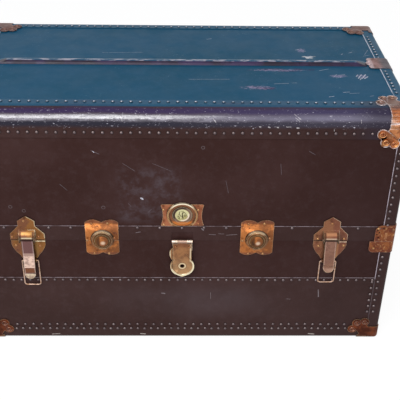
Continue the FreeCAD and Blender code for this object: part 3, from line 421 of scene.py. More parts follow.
LID_FRONT_FAINT = [((-182, 499), (-166, 491), 0.6), ((-120, 470), (-96, 452), 0.5),
                   ((200, 470), (203, 445), 0.5), ((-60, 470), (-22, 452), 0.4), ((90, 430), (96, 400), 0.4),
                   ((-250, 420), (-236, 405), 0.5), ((255, 500), (268, 492), 0.5),
                   ((-112, 374), (-106, 366), 0.4), ((-70, 352), (-64, 359), 0.4)]
VALANCE_MARKS = [((58, 296), (72, 295), 0.5), ((78, 298), (90, 297), 0.4), ((95, 294), (118, 296), 0.5),
                 ((43, 311), (46, 307), 1.4), ((44, 318), (48, 316), 1.2), ((-98, 300), (-88, 302), 0.6)]
PANEL_MARKS = [((-44, 134), (-38, 133), 1.3), ((307, 144), (309, 124), 1.0), ((65, 136), (65.4, 118), 0.4),
               ((236, 118), (246, 117), 0.4)]
FOOT_MARKS = [((-95, 13), (-84, 12), 1.2), ((296, 13), (309, 12), 1.2), ((-300, 12), (-282, 12.5), 0.8)]
# over the large front round: (x, y, z)
ROUND_STROKES = [((152, -238, 555), (154, -238, 554.5), 1.3), ((170, -238, 554.5), (172, -238, 554), 1.3),
                 ((187, -238, 554), (189, -238, 553.5), 1.1), ((226, -238, 553), (229, -238, 552.7), 1.3),
                 ((205, -238, 555), (214, -238, 555), 0.7), ((220, -226, 577), (233, -233, 569), 0.7),
                 ((222, -231, 572), (231, -235, 566), 0.6), ((298, -233, 569), (300, -238, 547), 0.7),
                 ((60, -232, 571), (66, -236, 563), 0.6), ((-120, -231, 572), (-117, -236, 564), 0.6),
                 ((352, -233, 569), (352.4, -236, 563), 0.4)]
# ring marks on the front of the lid: centre (x, z), radius, half width of the line
LID_FRONT_RINGS = [((42, 507), 3.2, 0.7), ((-164, 363), 3.6, 0.6), ((-330, 354), 3.4, 0.6),
                   ((-357, 364), 3.4, 0.6)]


def top_marks(marks):
    return [(Vector((*a, COVER_TOP / MM)), Vector((*b, COVER_TOP / MM)), half) for a, b, half in marks]


def front_marks(marks, face):
    return [(Vector((a[0], face / MM, a[1])), Vector((b[0], face / MM, b[1])), half) for a, b, half in marks]


def scuff(f, centre, half_x, half_y, grain):
    """Worn patch about a point of the top, its edge broken by noise."""
    dx = f.maths("DIVIDE", f.less(f.x, centre[0]), half_x)
    dy = f.maths("DIVIDE", f.less(f.y, centre[1]), half_y)
    near = f.ramp(f.reach(dx, dy), 1.15, 0.2)
    streaks = f.noise(grain, detail=6.0, rough=0.75, stretch=(0.5, 1.4, 1.0))
    level = f.plus(streaks, f.times(near, 0.16))
    return f.times(f.ramp(level, 0.58, 0.7, 0.0, 0.75), f.ramp(near, 0.0, 0.4))


# ---- finishes of the case ----------------------------------------------------------------------
def covering(name, s):
    """Fibre over the boxes: scuffed, specked and scratched on the top, ringed on the front, with a painted
    reflection on the lid's front.
    """
    f = Enamel(name, s, TOP - 5 * MM, TOP - 3 * MM)
    for group, tone in ((SMEARS, s.round_reflection), (SCUFFS, "8F86A4"), (CHIPS, "DEDDDC")):
        for patch in group:
            f.tint(tone, scuff(f, *patch), f.above)
    specks = f.ramp(f.noise(300.0, detail=3.0, rough=0.8, stretch=(0.4, 1, 1)), 0.65, 0.71, 0.0, 0.4)
    sparse = f.ramp(f.noise(9.0, detail=2.0, offset=(4, 4, 0)), 0.45, 0.65)
    f.tint("A8BCCC", specks, f.above, sparse)
    # painted reflection: a pale haze on the lid's front, broken by noise
    lid_reflection_width = f.band(f.x, -130 * MM, -5 * MM, 15 * MM)
    lid_reflection_height = f.band(f.z, 330 * MM, 455 * MM, 15 * MM)
    lid_reflection = f.ramp(f.noise(40.0, detail=6.0, rough=0.7), 0.42, 0.7, 0.0, 0.25)
    f.tint("6A6670", lid_reflection_width, lid_reflection_height, f.ramp(f.y, 0.0, -MM), lid_reflection)
    f.scratch("CDCCD8", top_marks(TOP_FAINT), 0.35)
    f.scratch("CDCCD8", front_marks(LID_FRONT_FAINT, COVER_FRONT), 0.12)
    f.scratch("CDCCD8", top_marks(TOP_BRIGHT) + front_marks(LID_FRONT_BRIGHT, COVER_FRONT), 0.78)
    rings = [f.ring((x, COVER_FRONT / MM, z), radius, half) for (x, z), radius, half in LID_FRONT_RINGS]
    f.tint("A09AA0", f.most(rings), 0.2)
    f.relief(f.noise(160.0, detail=3.0), 0.12, 0.4 * MM)
    return f.surface(f.ramp(f.noise(22.0, detail=5.0), 0.3, 0.7, 0.3, 0.45), specular=0.045)


def panel(name, s, edge_z, marks, face):
    """Fibre sheet on the front, with a painted reflection on it and a painted highlight along its top edge.
    """
    f = Enamel(name, s, TOP, TOP + MM)
    # painted reflection: a pale haze low on the front
    panel_reflection = f.times(f.band(f.x, -120 * MM, 170 * MM, 90 * MM), f.band(f.z, 70 * MM, 150 * MM, 30 * MM))
    f.tint("564A4E", panel_reflection, f.ramp(f.noise(7.0, detail=4.0), 0.3, 0.7, 0.1, 0.45))
    # painted highlight along the sheet's top edge, broken by noise
    edge = f.ramp(f.z, edge_z - 1.0 * MM, edge_z - 0.4 * MM)
    wear_and_sheen = f.ramp(f.noise(70.0, detail=4.0, stretch=(1.0, 1.0, 0.2)), 0.36, 0.6, 0.25, 0.85)
    f.tint("9C8E94", edge, wear_and_sheen)
    f.scratch("C4BCC2", front_marks(marks, face), 0.3)
    return f.pebbled(160.0, 0.1)


def end_binding(name, s):
    """Fibre frame round the end faces, with a painted highlight along its inner edge."""
    f = Enamel(name, s, TOP - 6 * MM, TOP - 2 * MM)
    # painted highlight along the frame's inner edge: bluish on the top, stronger on the right and above the
    # panel's top, broken by noise
    edge = f.off(f.maths("ABSOLUTE", f.x), END_STRIP_EDGE + 0.6 * MM)
    more_right = f.ramp(f.x, -10 * MM, 10 * MM, 0.35, 1.0)
    more_above = f.ramp(f.z, PANEL_TOP - 6 * MM, PANEL_TOP, 0.2, 1.0)
    wear_and_sheen = f.ramp(f.noise(45.0, detail=3.0, stretch=(0.2, 1.0, 1.0)), 0.32, 0.5, 0.3, 0.9)
    f.tint(f.blend(f.above, "BDB0BA", "D8DBE8"), f.ramp(edge, 1.3 * MM, 0.6 * MM),
           f.times(more_right, more_above), wear_and_sheen)
    f.scratch("C9BFB8", front_marks(FOOT_MARKS, FRONT), 0.7)
    return f.pebbled(150.0, 0.12)


def front_binding(name, s):
    """Fibre over the large front round: painted reflections in bands, violet above and nearly black below,
    and a painted highlight in a band that also has more gloss.
    """
    f = Enamel(name, s, TOP - 1.6 * MM, TOP - 0.6 * MM)
    wave = f.times(f.less(f.noise(30.0, detail=4.0, stretch=(0.25, 1, 1)), 0.5), 8 * MM)
    level = f.plus(f.z, wave)
    rightward = f.ramp(f.x, -150 * MM, 350 * MM)
    # painted reflection bands: lower and upper level below the top, softness, colour at the left and at the
    # right
    for low, high, soft, left, right in (
            (10.5, 2.0, 2.4, s.round_reflection, "403A56"), (13.0, 9.5, 3.0, "4B3F48", "524C60"),
            (33.0, 19.0, 5.0, "2A2833", "3C3844"), (20.0, 11.0, 4.5, "4A4450", "6C687C")):
        band = f.band(level, TOP - low * MM, TOP - high * MM, soft * MM)
        f.tint(f.blend(rightward, left, right), band)
    # painted highlight in a band, stronger on the left and broken by flecks; the band also takes more
    # specular and coat
    highlight_band = f.band(level, TOP - 21 * MM, TOP - 12 * MM, 3.5 * MM)
    flecked = f.ramp(f.noise(260.0, detail=4.0, rough=0.7, stretch=(0.5, 1, 1)), 0.38, 0.5, 0.45, 1.0)
    highlight_and_gloss = f.times(highlight_band, f.ramp(f.x, 230 * MM, -110 * MM, 0.12, 0.86), flecked)
    fine = f.noise(120.0, detail=6.0, rough=0.75, stretch=(0.25, 1.0, 1.0))
    f.tint("C9C4D6", f.ramp(fine, 0.46, 0.62, 0.1, 0.45), highlight_and_gloss)
    f.tint("2A2430", f.ramp(f.x, 320 * MM, 395 * MM, 0.0, 0.6))
    specks = f.noise(330.0, detail=3.0, rough=0.8, stretch=(0.45, 1, 1), offset=(0.3, 0, 0))
    specks = f.ramp(specks, 0.62, 0.68, 0.0, 0.75)
    f.tint("C8C4D0", specks, f.band(f.z, TOP - 36 * MM, TOP - 3 * MM, 3 * MM))
    f.scratch("D8D2D4", ROUND_STROKES, 0.55)
    f.relief(f.noise(75.0, detail=5.0, rough=0.65), 0.16, 0.6 * MM)
    uneven = f.noise(90.0, detail=6.0, rough=0.7, stretch=(0.4, 1.0, 1.0))
    gloss = f.plus(f.times(highlight_and_gloss, 0.8), 0.1)
    return f.surface(f.ramp(uneven, 0.36, 0.66, 0.16, 0.34), specular=gloss, coat=highlight_and_gloss)


def ridge(name, s):
    """Batten on the lid: painted reflection of bluish surroundings on the crest and the back slope, a
    painted highlight along the crest, a painted violet reflection on the front slope.
    """
    f = Finish(name)
    # painted violet reflection on the front slope
    f.base = f.blend(f.ramp(f.noise(12.0), 0.4, 0.6), s.round_reflection, "231A2A")
    crest = f.ramp(f.z, RIDGE_TOP - 1.6 * MM, RIDGE_TOP - 0.6 * MM)
    # painted reflection on the crest, and a painted highlight along it
    f.tint(s.top_reflection_faded, crest)
    f.tint("D2C6D0", crest, f.ramp(f.noise(190.0, detail=6.0, stretch=(0.3, 1, 1)), 0.46, 0.6), 0.5)
    # painted reflection on the back slope
    f.tint(s.top_reflection, f.ramp(f.y, RIDGE_Y + 1.0 * MM, RIDGE_Y + 4.0 * MM))
    f.relief(f.noise(120.0, stretch=(0.3, 1, 1)), 0.2, 0.5 * MM)
    return f.surface(f.ramp(f.noise(30.0), 0.3, 0.7, 0.25, 0.4), specular=0.2)


# ways that a nail's crown shines, where the shine starts and is full, its share and colour
NAIL_GLINTS = [([(-0.14, -0.95, 0.24)], 0.93, 0.985, 0.55, "C4AEAA"),
               ([(-0.1, -0.18, 0.97), (0.98, -0.1, 0.16)], 0.95, 0.98, 0.9, "E0DCE6")]


def nail_head(name, s):
    """Nail head lacquered with the case: painted shade round the dome's sides, painted light on the crown
    and painted glints.
    """
    f = Enamel(name, s, TOP - 1.2 * MM, TOP - 0.4 * MM)
    normal = f.add("ShaderNodeNewGeometry").outputs["Normal"]
    crown = f.most(f.add("ShaderNodeSeparateXYZ", {"Vector": f.vector("ABSOLUTE", normal)}).outputs)
    # painted shade round the sides of the dome
    f.tint("0E0A0E", f.ramp(crown, 0.9, 0.8, 0.0, 0.85))
    # painted light on the crown, bluish on the top's nails
    f.tint(f.blend(f.above, "6A5A60", "4C6C86"), f.ramp(crown, 0.86, 0.93, 0.0, 0.5))
    some = f.ramp(f.noise(38.0, detail=2.0), 0.4, 0.58, 0.4, 1.0)
    for ways, low, high, share, code in NAIL_GLINTS:
        turned = [f.vector("DOT_PRODUCT", normal, Vector(way).normalized()) for way in ways]
        f.tint(code, f.most([f.ramp(facing, low, high) for facing in turned]), some, share)
    return f.surface(f.ramp(f.noise(150.0), 0.3, 0.7, 0.3, 0.42), metallic=0.1, specular=0.35)


def leather(name, s):
    f = Finish(name)
    pores = f.add("ShaderNodeTexVoronoi", {"Vector": f.moved(), "Scale": 900.0}).outputs["Distance"]
    f.base = f.blend(f.ramp(f.noise(30.0, detail=6.0), 0.35, 0.7), s.leather, "5A3A26")
    f.tint("1C110B", f.ramp(pores, 0.1, 0.5, 0.45, 0.0))
    f.relief(f.plus(pores, f.noise(120.0, detail=5.0)), 0.35, 0.4 * MM)
    return f.surface(f.ramp(f.noise(40.0), 0.3, 0.7, 0.42, 0.62), specular=0.4)


def cloth(name, s):
    """Plain-woven lining with foxed patches."""
    f = Finish(name)
    across, deep, up = [f.waves(160.0, axis, 0.4) for axis in "XYZ"]
    weave = f.times(f.plus(across, deep), f.plus(up, 0.4))
    f.base = f.blend(f.ramp(f.noise(4.0, detail=7.0, rough=0.65), 0.45, 0.7), s.cloth, "6E5F47")
    f.tint("4E4433", f.ramp(weave, 0.2, 1.2, 0.25, 0.0))
    f.relief(weave, 0.3, 0.3 * MM)
    return f.surface(0.85, specular=0.2)


def plywood(name, s):
    f = Finish(name)
    grain = f.noise(18.0, detail=6.0, stretch=(1.0, 9.0, 9.0))
    f.base = f.blend(f.ramp(grain, 0.35, 0.65), s.plywood, "8A683F")
    f.tint("5F4527", f.ramp(f.waves(120.0, "Y"), 0.5, 0.9, 0.0, 0.25))
    f.relief(grain, 0.2, 0.3 * MM)
    return f.surface(0.65, specular=0.3)


# ---- finishes of the metal ---------------------------------------------------------------------
# bands of colour and of painted light and shade round the dowels, the lock and the key hole: inner and outer
# radius in millimetres, colour, share
DOWEL_RINGS = [(12.6, 19.0, "41331F", 0.75), (19.0, 23.6, "6A4E3A", 0.7), (23.2, 25.4, "2A1710", 0.85),
               (15.6, 16.6, "8A6E4C", 0.6)]
LOCK_RINGS = [(14.4, 16.2, "2A1A14", 0.85), (16.2, 20.8, "74675C", 0.8), (20.4, 22.2, "2A1A14", 0.85),
              (22.2, 27.4, "7A5238", 0.7), (24.4, 25.2, "3A2418", 0.5), (27.2, 28.6, "2A1A14", 0.8),
              (28.6, 32.2, "A57A4C", 0.8), (32.0, 33.4, "2A1A14", 0.7)]
KEY_HOLE_RINGS = [(5.6, 8.2, "E6D2AC", 0.75), (8.4, 10.0, "5A3E2A", 0.35)]
# holes of the seam clamps, painted as dark discs of shade: distance from the middle, height and radius in
# millimetres
CLAMP_HOLES = [(418.8, 309.0, 2.4), (422.8, 303.8, 2.4), (417.8, 298.0, 2.4), (421.8, 290.4, 2.4),
               (430.9, 315.1, 2.8)]


def plated(name, s, bright, dull, rust_share, roughness, wear_and_sheen=0.7):
    return Plating(name, s, bright, dull, rust_share, roughness).done(wear_and_sheen)


def bracket_metal(name, s, bright, dull, rust_share, aloft, wear_and_sheen, rim):
    """Corner brackets: a painted grey reflection on top of the lid, duller towards the back, with pale
    edges, partly wear and partly a painted highlight, that fade towards the back.
    """
    f = Plating(name, s, bright, dull, rust_share, 0.44)
    # painted grey reflection on the top faces
    f.tint(aloft, f.ramp(f.z, TOP - 2 * MM, TOP + 0.5 * MM), 0.75)
    f.tint("4A241A", f.ramp(f.noise(120.0, detail=5.0), 0.52, 0.66), 0.45)
    f.tint("5C403E", f.ramp(f.y, FRONT + 130 * MM, BACK), 0.5)
    # pale edges, partly wear and partly a painted highlight, fade towards the back
    share = f.ramp(f.y, FRONT + 70 * MM, FRONT + 130 * MM, wear_and_sheen, 0.25 * wear_and_sheen)
    return f.done(share, 0.15, rim * MM, "E4DADC")


def ridge_clamp_metal(name, s):
    """Plate over the ridge's end: rosy lobes, dull towards the edge of the case."""
    f = Plating(name, s, "8E6A68", "745650", 0.4, 0.46)
    side = f.maths("ABSOLUTE", f.x)
    f.tint("4A4A52", f.ramp(side, END - 30 * MM, END - 14 * MM), 0.85)
    f.tint("CDBCC0", f.ramp(side, END - 36 * MM, END - 42 * MM), 0.5)
    return f.done(0.5, 0.4, 2.4 * MM, "D4CACE")


def clamp_metal(name, s):
    """Edge clamps: blotched, with holes painted as dark discs of shade and a painted highlight standing for
    a pressed rib.
    """
    f = Plating(name, s, "8A5230", "6A3626", 0.3, 0.46)
    side = f.maths("ABSOLUTE", f.x)
    f.tint("5A2A22", f.ramp(f.noise(110.0, detail=4.0), 0.44, 0.54), 0.5)
    f.tint("C49A6C", f.ramp(f.noise(150.0, detail=3.0, offset=(4, 2, 2)), 0.56, 0.64), 0.5)
    # holes painted as dark discs of shade
    for x, z, radius in CLAMP_HOLES:
        far = f.reach(f.less(side, x * MM), f.less(f.z, z * MM))
        f.tint("1C0D08", f.ramp(far, radius * MM, 0.5 * radius * MM), 0.9)
    # painted highlight standing for a pressed rib
    rib = f.band(f.off(side, 438 * MM), 0.0, 2.6 * MM, 0.5 * MM)
    f.tint("C89870", rib, f.band(f.z, 287 * MM, 303 * MM, 1.5 * MM), 0.25)
    return f.done(0.4, 0.5, 2.0 * MM, "C8A090")


def dowel_metal(name, s, node):
    """Dowel plates: shaded steps round the boss, a lit crown and a glint on the dome."""
    centre = Vector((middle(node).x, 0, LID_RIM + 3 * MM))
    f = Plating(name, s, s.brass, s.brass_tan, 0.25, 0.5, lean=centre.x)
    dx, dz, far = f.rings(centre, DOWEL_RINGS)
    f.tint("E4CFAE", f.band(far, 20.2 * MM, 23.4 * MM, 0.5 * MM), f.ramp(dz, 11 * MM, 18 * MM), 0.7)
    # painted shade on the dome's left
    f.tint("33241A", f.ramp(far, 13 * MM, 12 * MM), f.ramp(dx, -2 * MM, -7 * MM), 0.8)
    lit = Vector((centre.x + 2 * MM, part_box(node)[0].y, centre.z - 3 * MM))
    f.tint("F6DFC4", f.ramp(f.vector("DISTANCE", f.spot, lit), 7 * MM, 2 * MM), 0.6)
    f.tint("6E4438", f.ramp(f.off(f.z, LID_RIM + 6 * MM), 36 * MM, 40 * MM), 0.65)
    return f.done(0.3)


def lock_metal(name, s):
    """Lock plate: shaded rings round the plug, lit at the crown, orange at the foot."""
    f = Plating(name, s, "A8694A", "8A5138", 0.12, 0.38)
    dx, dz, far = f.rings(LOCK, LOCK_RINGS)
    f.tint("F6EBD0", f.band(far, 28.6 * MM, 32.4 * MM, 0.4 * MM), f.ramp(dz, 15 * MM, 26 * MM), 0.9)
    shadow = f.ramp(f.less(dz, dx), 2 * MM, 12 * MM)
    f.tint("201814", f.band(far, 15 * MM, 21 * MM, 0.4 * MM), shadow, 0.75)
    f.tint("C87636", f.ramp(far, 28.0 * MM, 27.0 * MM), f.ramp(dz, -14 * MM, -19 * MM), 0.85)
    return f.done(0.6)


def plug_metal(name, s):
    """Turning plug: a chased face in a rim with a painted highlight on its lower right."""
    f = Plating(name, s, s.plug, "B3A66C", 0.0, 0.3)
    dx, dz, far = f.far_from(LOCK)
    flecks = f.noise(420.0, detail=4.0, stretch=(1.0, 1.0, 0.5), turn=(0.0, 0.7, 0.0), offset=(1, 0, 2))
    f.tint("4A442C", f.ramp(flecks, 0.47, 0.56), f.ramp(far, 12.5 * MM, 10.5 * MM), 0.75)
    lit = f.ramp(f.less(dx, dz), 6 * MM, 14 * MM)
    f.tint("F0DCCB", f.band(far, 12 * MM, 15 * MM, 0.6 * MM), lit, 0.9)
    return f.done(0.4)


def hasp_metal(name, s):
    """Hasp: tan face, a painted highlight on the folded ear, a painted lit ring about the key hole."""
    low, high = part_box("hasp")
    f = Plating(name, s, "9E6F4A", "7C543A", 0.2, 0.38)
    f.tint("BE9A70", f.ramp(f.z, high.z - 34 * MM, low.z + 20 * MM, 0.0, 0.45))
    f.tint("7A4C34", f.ramp(f.z, high.z - 22 * MM, high.z - 8 * MM), 0.5)
    f.tint("E8D7B2", f.ramp(f.x, low.x + 3.4 * MM, low.x + 1.6 * MM), 0.8)
    f.tint("3A2618", f.band(f.x, low.x + 5.0 * MM, low.x + 7.5 * MM, 0.8 * MM), 0.5)
    # painted highlight on the folded ear
    ear = f.band(f.x, LOCK.x + 16.4 * MM, LOCK.x + 18.6 * MM, 0.5 * MM)
    f.tint("EBD9B6", ear, f.band(f.z, low.z + 40 * MM, high.z - 10 * MM, 3 * MM), 0.75)
    f.tint("DCC6B6", f.ramp(f.z, high.z - 7 * MM, high.z - 5.5 * MM), 0.8)
    f.tint("7A4C34", f.ramp(f.z, high.z - 22 * MM, high.z - 10 * MM, 0.0, 0.5))
    hole = Vector((LOCK.x, 0, low.z + 28.2 * MM))
    dx, dz, far = f.far_from(hole)
    below = f.ramp(f.less(dz, f.times(dx, 0.5)), 8 * MM, 0.0)
    f.tint("F1E6C6", f.band(far, 22.6 * MM, 27.5 * MM, 0.6 * MM), below, 0.9)
    f.rings(hole, KEY_HOLE_RINGS)
    return f.done(0.55, 0.8)


def strap_metal(name, s, node, upper, facet, lower, tip, side, pitted):
    """Strap of a latch: four facets down its length in painted light and shade, painted shade along its
    sides with a painted highlight inside it, and painted shade at its top.
    """
    low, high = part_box(node)
    f = Plating(name, s, upper, upper, pitted, 0.34)
    down = f.maths("DIVIDE", f.less(high.z, f.z), high.z - low.z)
    patchy = f.ramp(f.noise(110.0, detail=5.0, rough=0.7), 0.36, 0.6, 0.4, 1.0)
    # painted light down the strap: a bright facet, a darker lower facet and a bright tip
    f.tint(facet, f.band(down, 0.37, 0.44, 0.012), 0.35)
    f.tint(facet, f.band(down, 0.44, 0.72, 0.012), patchy)
    f.tint(facet, f.band(down, 0.70, 0.725, 0.006))
    f.tint(lower, f.band(down, 0.735, 0.86, 0.012), 0.9)
    f.tint(tip, f.ramp(down, 0.87, 0.9), f.ramp(down, 0.99, 0.96, 0.5, 1.0), patchy, 0.8)
    half = 0.5 * (high.x - low.x)
    off = f.off(f.x, middle(node).x)
    # painted shade along the sides, a painted highlight just inside it
    f.tint("3A2622", f.ramp(off, half - 3.4 * MM, half - 2.6 * MM), f.ramp(down, 0.9, 0.86), 0.85)
    f.tint(side, f.band(off, half - 4.8 * MM, half - 3.4 * MM, 0.4 * MM), 0.45)
    # painted shade at the top
    f.tint("2A1812", f.ramp(down, 0.07, 0.05), 0.9)
    return f.done(0.5)


def latch_metal(name, s, node, bright, dull, gold, cream, rim):
    """Latch plate and catch: golden to the right, brown to the left, with painted light and shade on the
    hood and painted highlights along the ledge and the plate's upper right edges.
    """
    f = Plating(name, s, bright, dull, 0.2, 0.4, lean=middle(node).x)
    dx = f.less(f.x, middle(node).x)
    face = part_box(node)[0].y
    stands = f.ramp(f.y, face + 9 * MM, face + 7 * MM)
    # painted light and shade on the hood: gold on top, a cream band, shade on its sides
    f.tint(gold, stands, f.ramp(f.z, LID_RIM + 18 * MM, LID_RIM + 21 * MM), 0.8)
    f.tint(cream, stands, f.band(f.z, LID_RIM + 12 * MM, LID_RIM + 15 * MM, MM), 0.7)
    f.tint("4A2E20", stands, f.ramp(f.off(f.x, middle(node).x), 10.5 * MM, 12.0 * MM), 0.9)
    f.tint("20120C", f.ramp(f.off(f.z, LID_RIM + 1.2 * MM), 1.8 * MM, 0.8 * MM), 0.85)
    # painted highlight along the ledge
    ledge = f.band(f.z, LOWER_RIM - 3.8 * MM, LOWER_RIM - 1.4 * MM, 0.4 * MM)
    f.tint(cream, ledge, f.ramp(dx, 8 * MM, 12 * MM), 0.9)
    under_rim = f.ramp(f.z, LOWER_RIM - 2 * MM, LOWER_RIM - 6 * MM)
    f.tint(gold, f.band(dx, 13 * MM, 20 * MM, 2 * MM), under_rim, 0.7)
    # painted highlight along the edges at the plate's upper right
    corner = f.times(f.ramp(dx, 0.0, 3 * MM), f.ramp(f.z, LID_RIM + 4 * MM, LID_RIM + 8 * MM))
    f.tint(cream, f.edges(3.2 * MM), corner, f.less(1.0, stands), rim)
    return f.done(0.3, 0.7)


def drawn_wire(name, s):
    f = Finish(name)
    clouds = f.noise(140.0, detail=5.0)
    f.base = f.blend(f.ramp(clouds, 0.46, 0.68), s.wire, "A07656")
    f.tint(s.rust, f.ramp(f.noise(260.0, detail=6.0, offset=(1, 4, 2)), 0.6, 0.7, 0.0, 0.5))
    f.relief(clouds, 0.2, 0.2 * MM)
    return f.surface(f.ramp(clouds, 0.3, 0.7, 0.26, 0.44), metallic=0.85)


def plain_steel(name, s):
    f = Finish(name)
    clouds = f.noise(60.0, detail=5.0)
    f.base = f.blend(f.ramp(clouds, 0.4, 0.65), "6D6863", "4A4039")
    f.relief(clouds, 0.15, 0.2 * MM)
    return f.surface(f.ramp(clouds, 0.3, 0.7, 0.35, 0.55), metallic=0.9)


# every material by its name: its maker, and what that takes after the name and the settings
FINISHES = {
    "enamelled_fibre": (covering,),
    "panel_fibre": (panel, PANEL_TOP, PANEL_MARKS, PANEL_FACE),
    "valance_fibre": (panel, VALANCE_TOP, VALANCE_MARKS, VALANCE_FACE),
    "binding_fibre": (end_binding,),
    "polished_binding": (front_binding,),
    "ridge_enamel": (ridge,),
    "nail_enamel": (nail_head,),
    "handle_leather": (leather,),
    "lining_cloth": (cloth,),
    "raw_plywood": (plywood,),
    "drawn_wire": (drawn_wire,),
    "plain_steel": (plain_steel,),
    "left_dowel_plating": (dowel_metal, "left_dowel_boss"),
    "right_dowel_plating": (dowel_metal, "right_dowel_boss"),
    "left_latch_plating":
        (latch_metal, "left_latch_plate", "7C5038", "8E5F34", "8E6A3C", "F0E2C0", 1.0),
    "right_latch_plating":
        (latch_metal, "right_latch_plate", "8A5C42", "7A4C3A", "A07050", "D8BCA4", 0.6),
    "left_strap_plating":
        (strap_metal, "left_latch_strap", "72504E", "EAC8B6", "7A4C32", "E6D2B4", "CFB4B0", 0.25),
    "right_strap_plating":
        (strap_metal, "right_latch_strap", "8C6656", "805A4A", "86604E", "B08C78", "D0AC9C", 0.55),
    "bracket_plating": (bracket_metal, "CC8A5A", "A8643E", 0.2, "584C50", 1.0, 3.6),
    "scroll_plating": (bracket_metal, "E4A45E", "C07A44", 0.1, "6E6268", 0.3, 1.4),
    "foot_scroll_plating": (bracket_metal, "8E6450", "5E3828", 0.3, "A5949E", 0.2, 1.4),
    "ridge_clamp_plating": (ridge_clamp_metal,),
    "clamp_plating": (clamp_metal,),
    "hasp_bronze": (hasp_metal,),
    "lock_plating": (lock_metal,),
    "plug_casting": (plug_metal,),
    "leaf_plating": (plated, "7A4E34", "63402F", 0.3, 0.4),
    "foot_plating": (plated, "6E361C", "482012", 0.5, 0.5, 0.35),
    "hinge_bronze": (plated, "DCC6B6", "B89C88", 0.1, 0.34),
    "rivet_plating": (plated, "B48A5E", "8E5C3C", 0.15, 0.28, 0.0),
}


def material(name):
    """The finish of that name, made when it is first asked for."""
    maker, *details = FINISHES[name]
    return bpy.data.materials.get(name) or maker(name, bpy.context.scene.trunk_finish, *details)


# ---- modelling helpers -------------------------------------------------------------------------
def activate(piece):
    bpy.ops.object.select_all(action="DESELECT")
    piece.select_set(True)
    bpy.context.view_layer.objects.active = piece


def joined(pieces, name):
    activate(pieces[0])
    for piece in pieces:
        piece.select_set(True)
    if len(pieces) > 1:
        bpy.ops.object.join()
    pieces[0].name = pieces[0].data.name = name
    return pieces[0]


def settle(piece):
    """Puts the piece's place into its mesh."""
    activate(piece)
    bpy.ops.object.transform_apply(location=True, rotation=True, scale=True)
    return piece


def dress(piece, finish, body):
    piece.data.materials.clear()
    piece.data.materials.append(material(finish))
    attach(piece, body)


def body_of(node):
    return frame["nodes"][node]["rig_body"]


def smooth(piece, degrees=35.0):
    activate(piece)
    bpy.ops.object.shade_smooth_by_angle(angle=math.radians(degrees))


MERGE_WITHIN = 2e-6                # corners nearer than this become one
FLAT_WITHIN = math.radians(0.5)    # faces this nearly level become one


def pressed(node, finish):
    """Copy of a plate, merged and with its curves shaded smooth, standing for the plate."""
    piece = bpy.data.objects.new(node + "_pressed", frame["nodes"][node].data.copy())
    bpy.context.scene.collection.objects.link(piece)
    activate(piece)
    bpy.ops.object.mode_set(mode="EDIT")
    bpy.ops.mesh.select_all(action="SELECT")
    bpy.ops.mesh.remove_doubles(threshold=MERGE_WITHIN)
    bpy.ops.mesh.dissolve_limited(angle_limit=FLAT_WITHIN)
    bpy.ops.object.mode_set(mode="OBJECT")
    smooth(piece)
    dress(piece, finish, body_of(node))
    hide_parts(node)


def dome(name, radius, height):
    """Low domed head standing on z = 0."""
    bpy.ops.object.select_all(action="DESELECT")
    bpy.ops.mesh.primitive_uv_sphere_add(segments=10, ring_count=8, radius=radius)
    head = bpy.context.active_object
    head.name = name
    bpy.ops.object.mode_set(mode="EDIT")
    bpy.ops.mesh.select_all(action="SELECT")
    bpy.ops.mesh.bisect(plane_co=(0, 0, 0), plane_no=(0, 0, 1), use_fill=True, clear_inner=True)
    bpy.ops.mesh.select_all(action="SELECT")
    bpy.ops.transform.resize(value=(1, 1, height / radius))
    bpy.ops.mesh.normals_make_consistent(inside=False)
    bpy.ops.object.mode_set(mode="OBJECT")
    smooth(head, 50.0)
    return head


def planted(model, name, places):
    """Copies of a model, each standing at a point along a normal, joined into one piece."""
    copies = []
    for point, normal, size in places:
        copy = bpy.data.objects.new(name, model.data.copy())
        bpy.context.scene.collection.objects.link(copy)
        stand = Vector(normal).to_track_quat("Z", "Y").to_matrix().to_4x4()
        copy.data.transform(Matrix.Translation(point) @ stand @ Matrix.Scale(size, 4))
        copies.append(copy)
    whole = joined(copies, name)
    bpy.data.objects.remove(model)
    return whole


# ---- which finish each node takes --------------------------------------------------------------
NODES_OF = {
    "enamelled_fibre": ("lower_covering", "lid_covering"),
    "panel_fibre": ("lower_front_panel",),
    "valance_fibre": ("lid_valance",),
    "binding_fibre": ("lower_end_bindings", "lid_end_bindings", "lower_long_bindings", "lid_back_binding"),
    "polished_binding": ("lid_front_binding",),
    "ridge_enamel": ("top_ridge",),
    "raw_plywood": ("lower_box", "lid_box", "rim_lip"),
    "lining_cloth": ("lower_lining", "lid_lining"),
    "plain_steel": ("lock_case", "lock_cam"),
    "drawn_wire": ("hasp_pin", "back_hinge_pins"),
}
NODE_FINISH = {node: finish for finish, nodes in NODES_OF.items() for node in nodes}
PAIR_FINISH = {"latch_pin": "drawn_wire", "latch_bail": "drawn_wire", "handle": "handle_leather"}
LEAVES = [f"{place}_hinge_{leaf}_leaf"
          for leaf in ("lower", "upper") for place in ("left", "middle", "right")]
PLATE_FINISH = {
    "lock_plate": "lock_plating", "lock_plug": "plug_casting", "hasp": "hasp_bronze",
    "hasp_hinge": "hinge_bronze", "lid_seam_clamps": "clamp_plating", "lower_seam_clamps": "clamp_plating",
    **{leaf: "leaf_plating" for leaf in LEAVES},
}
# the plates that come in pairs; {} is the side's name
PAIR_PLATE_FINISH = {
    "dowel_boss": "{}_dowel_plating", "dowel_tongue": "{}_dowel_plating",
    "latch_plate": "{}_latch_plating", "latch_catch": "{}_latch_plating",
    "latch_strap": "{}_strap_plating", "ridge_clamp": "ridge_clamp_plating",
    "front_top_bracket": "bracket_plating", "back_top_bracket": "bracket_plating",
    "front_bottom_bracket": "foot_plating", "back_bottom_bracket": "foot_plating",
    "handle_loops": "bracket_plating",
}


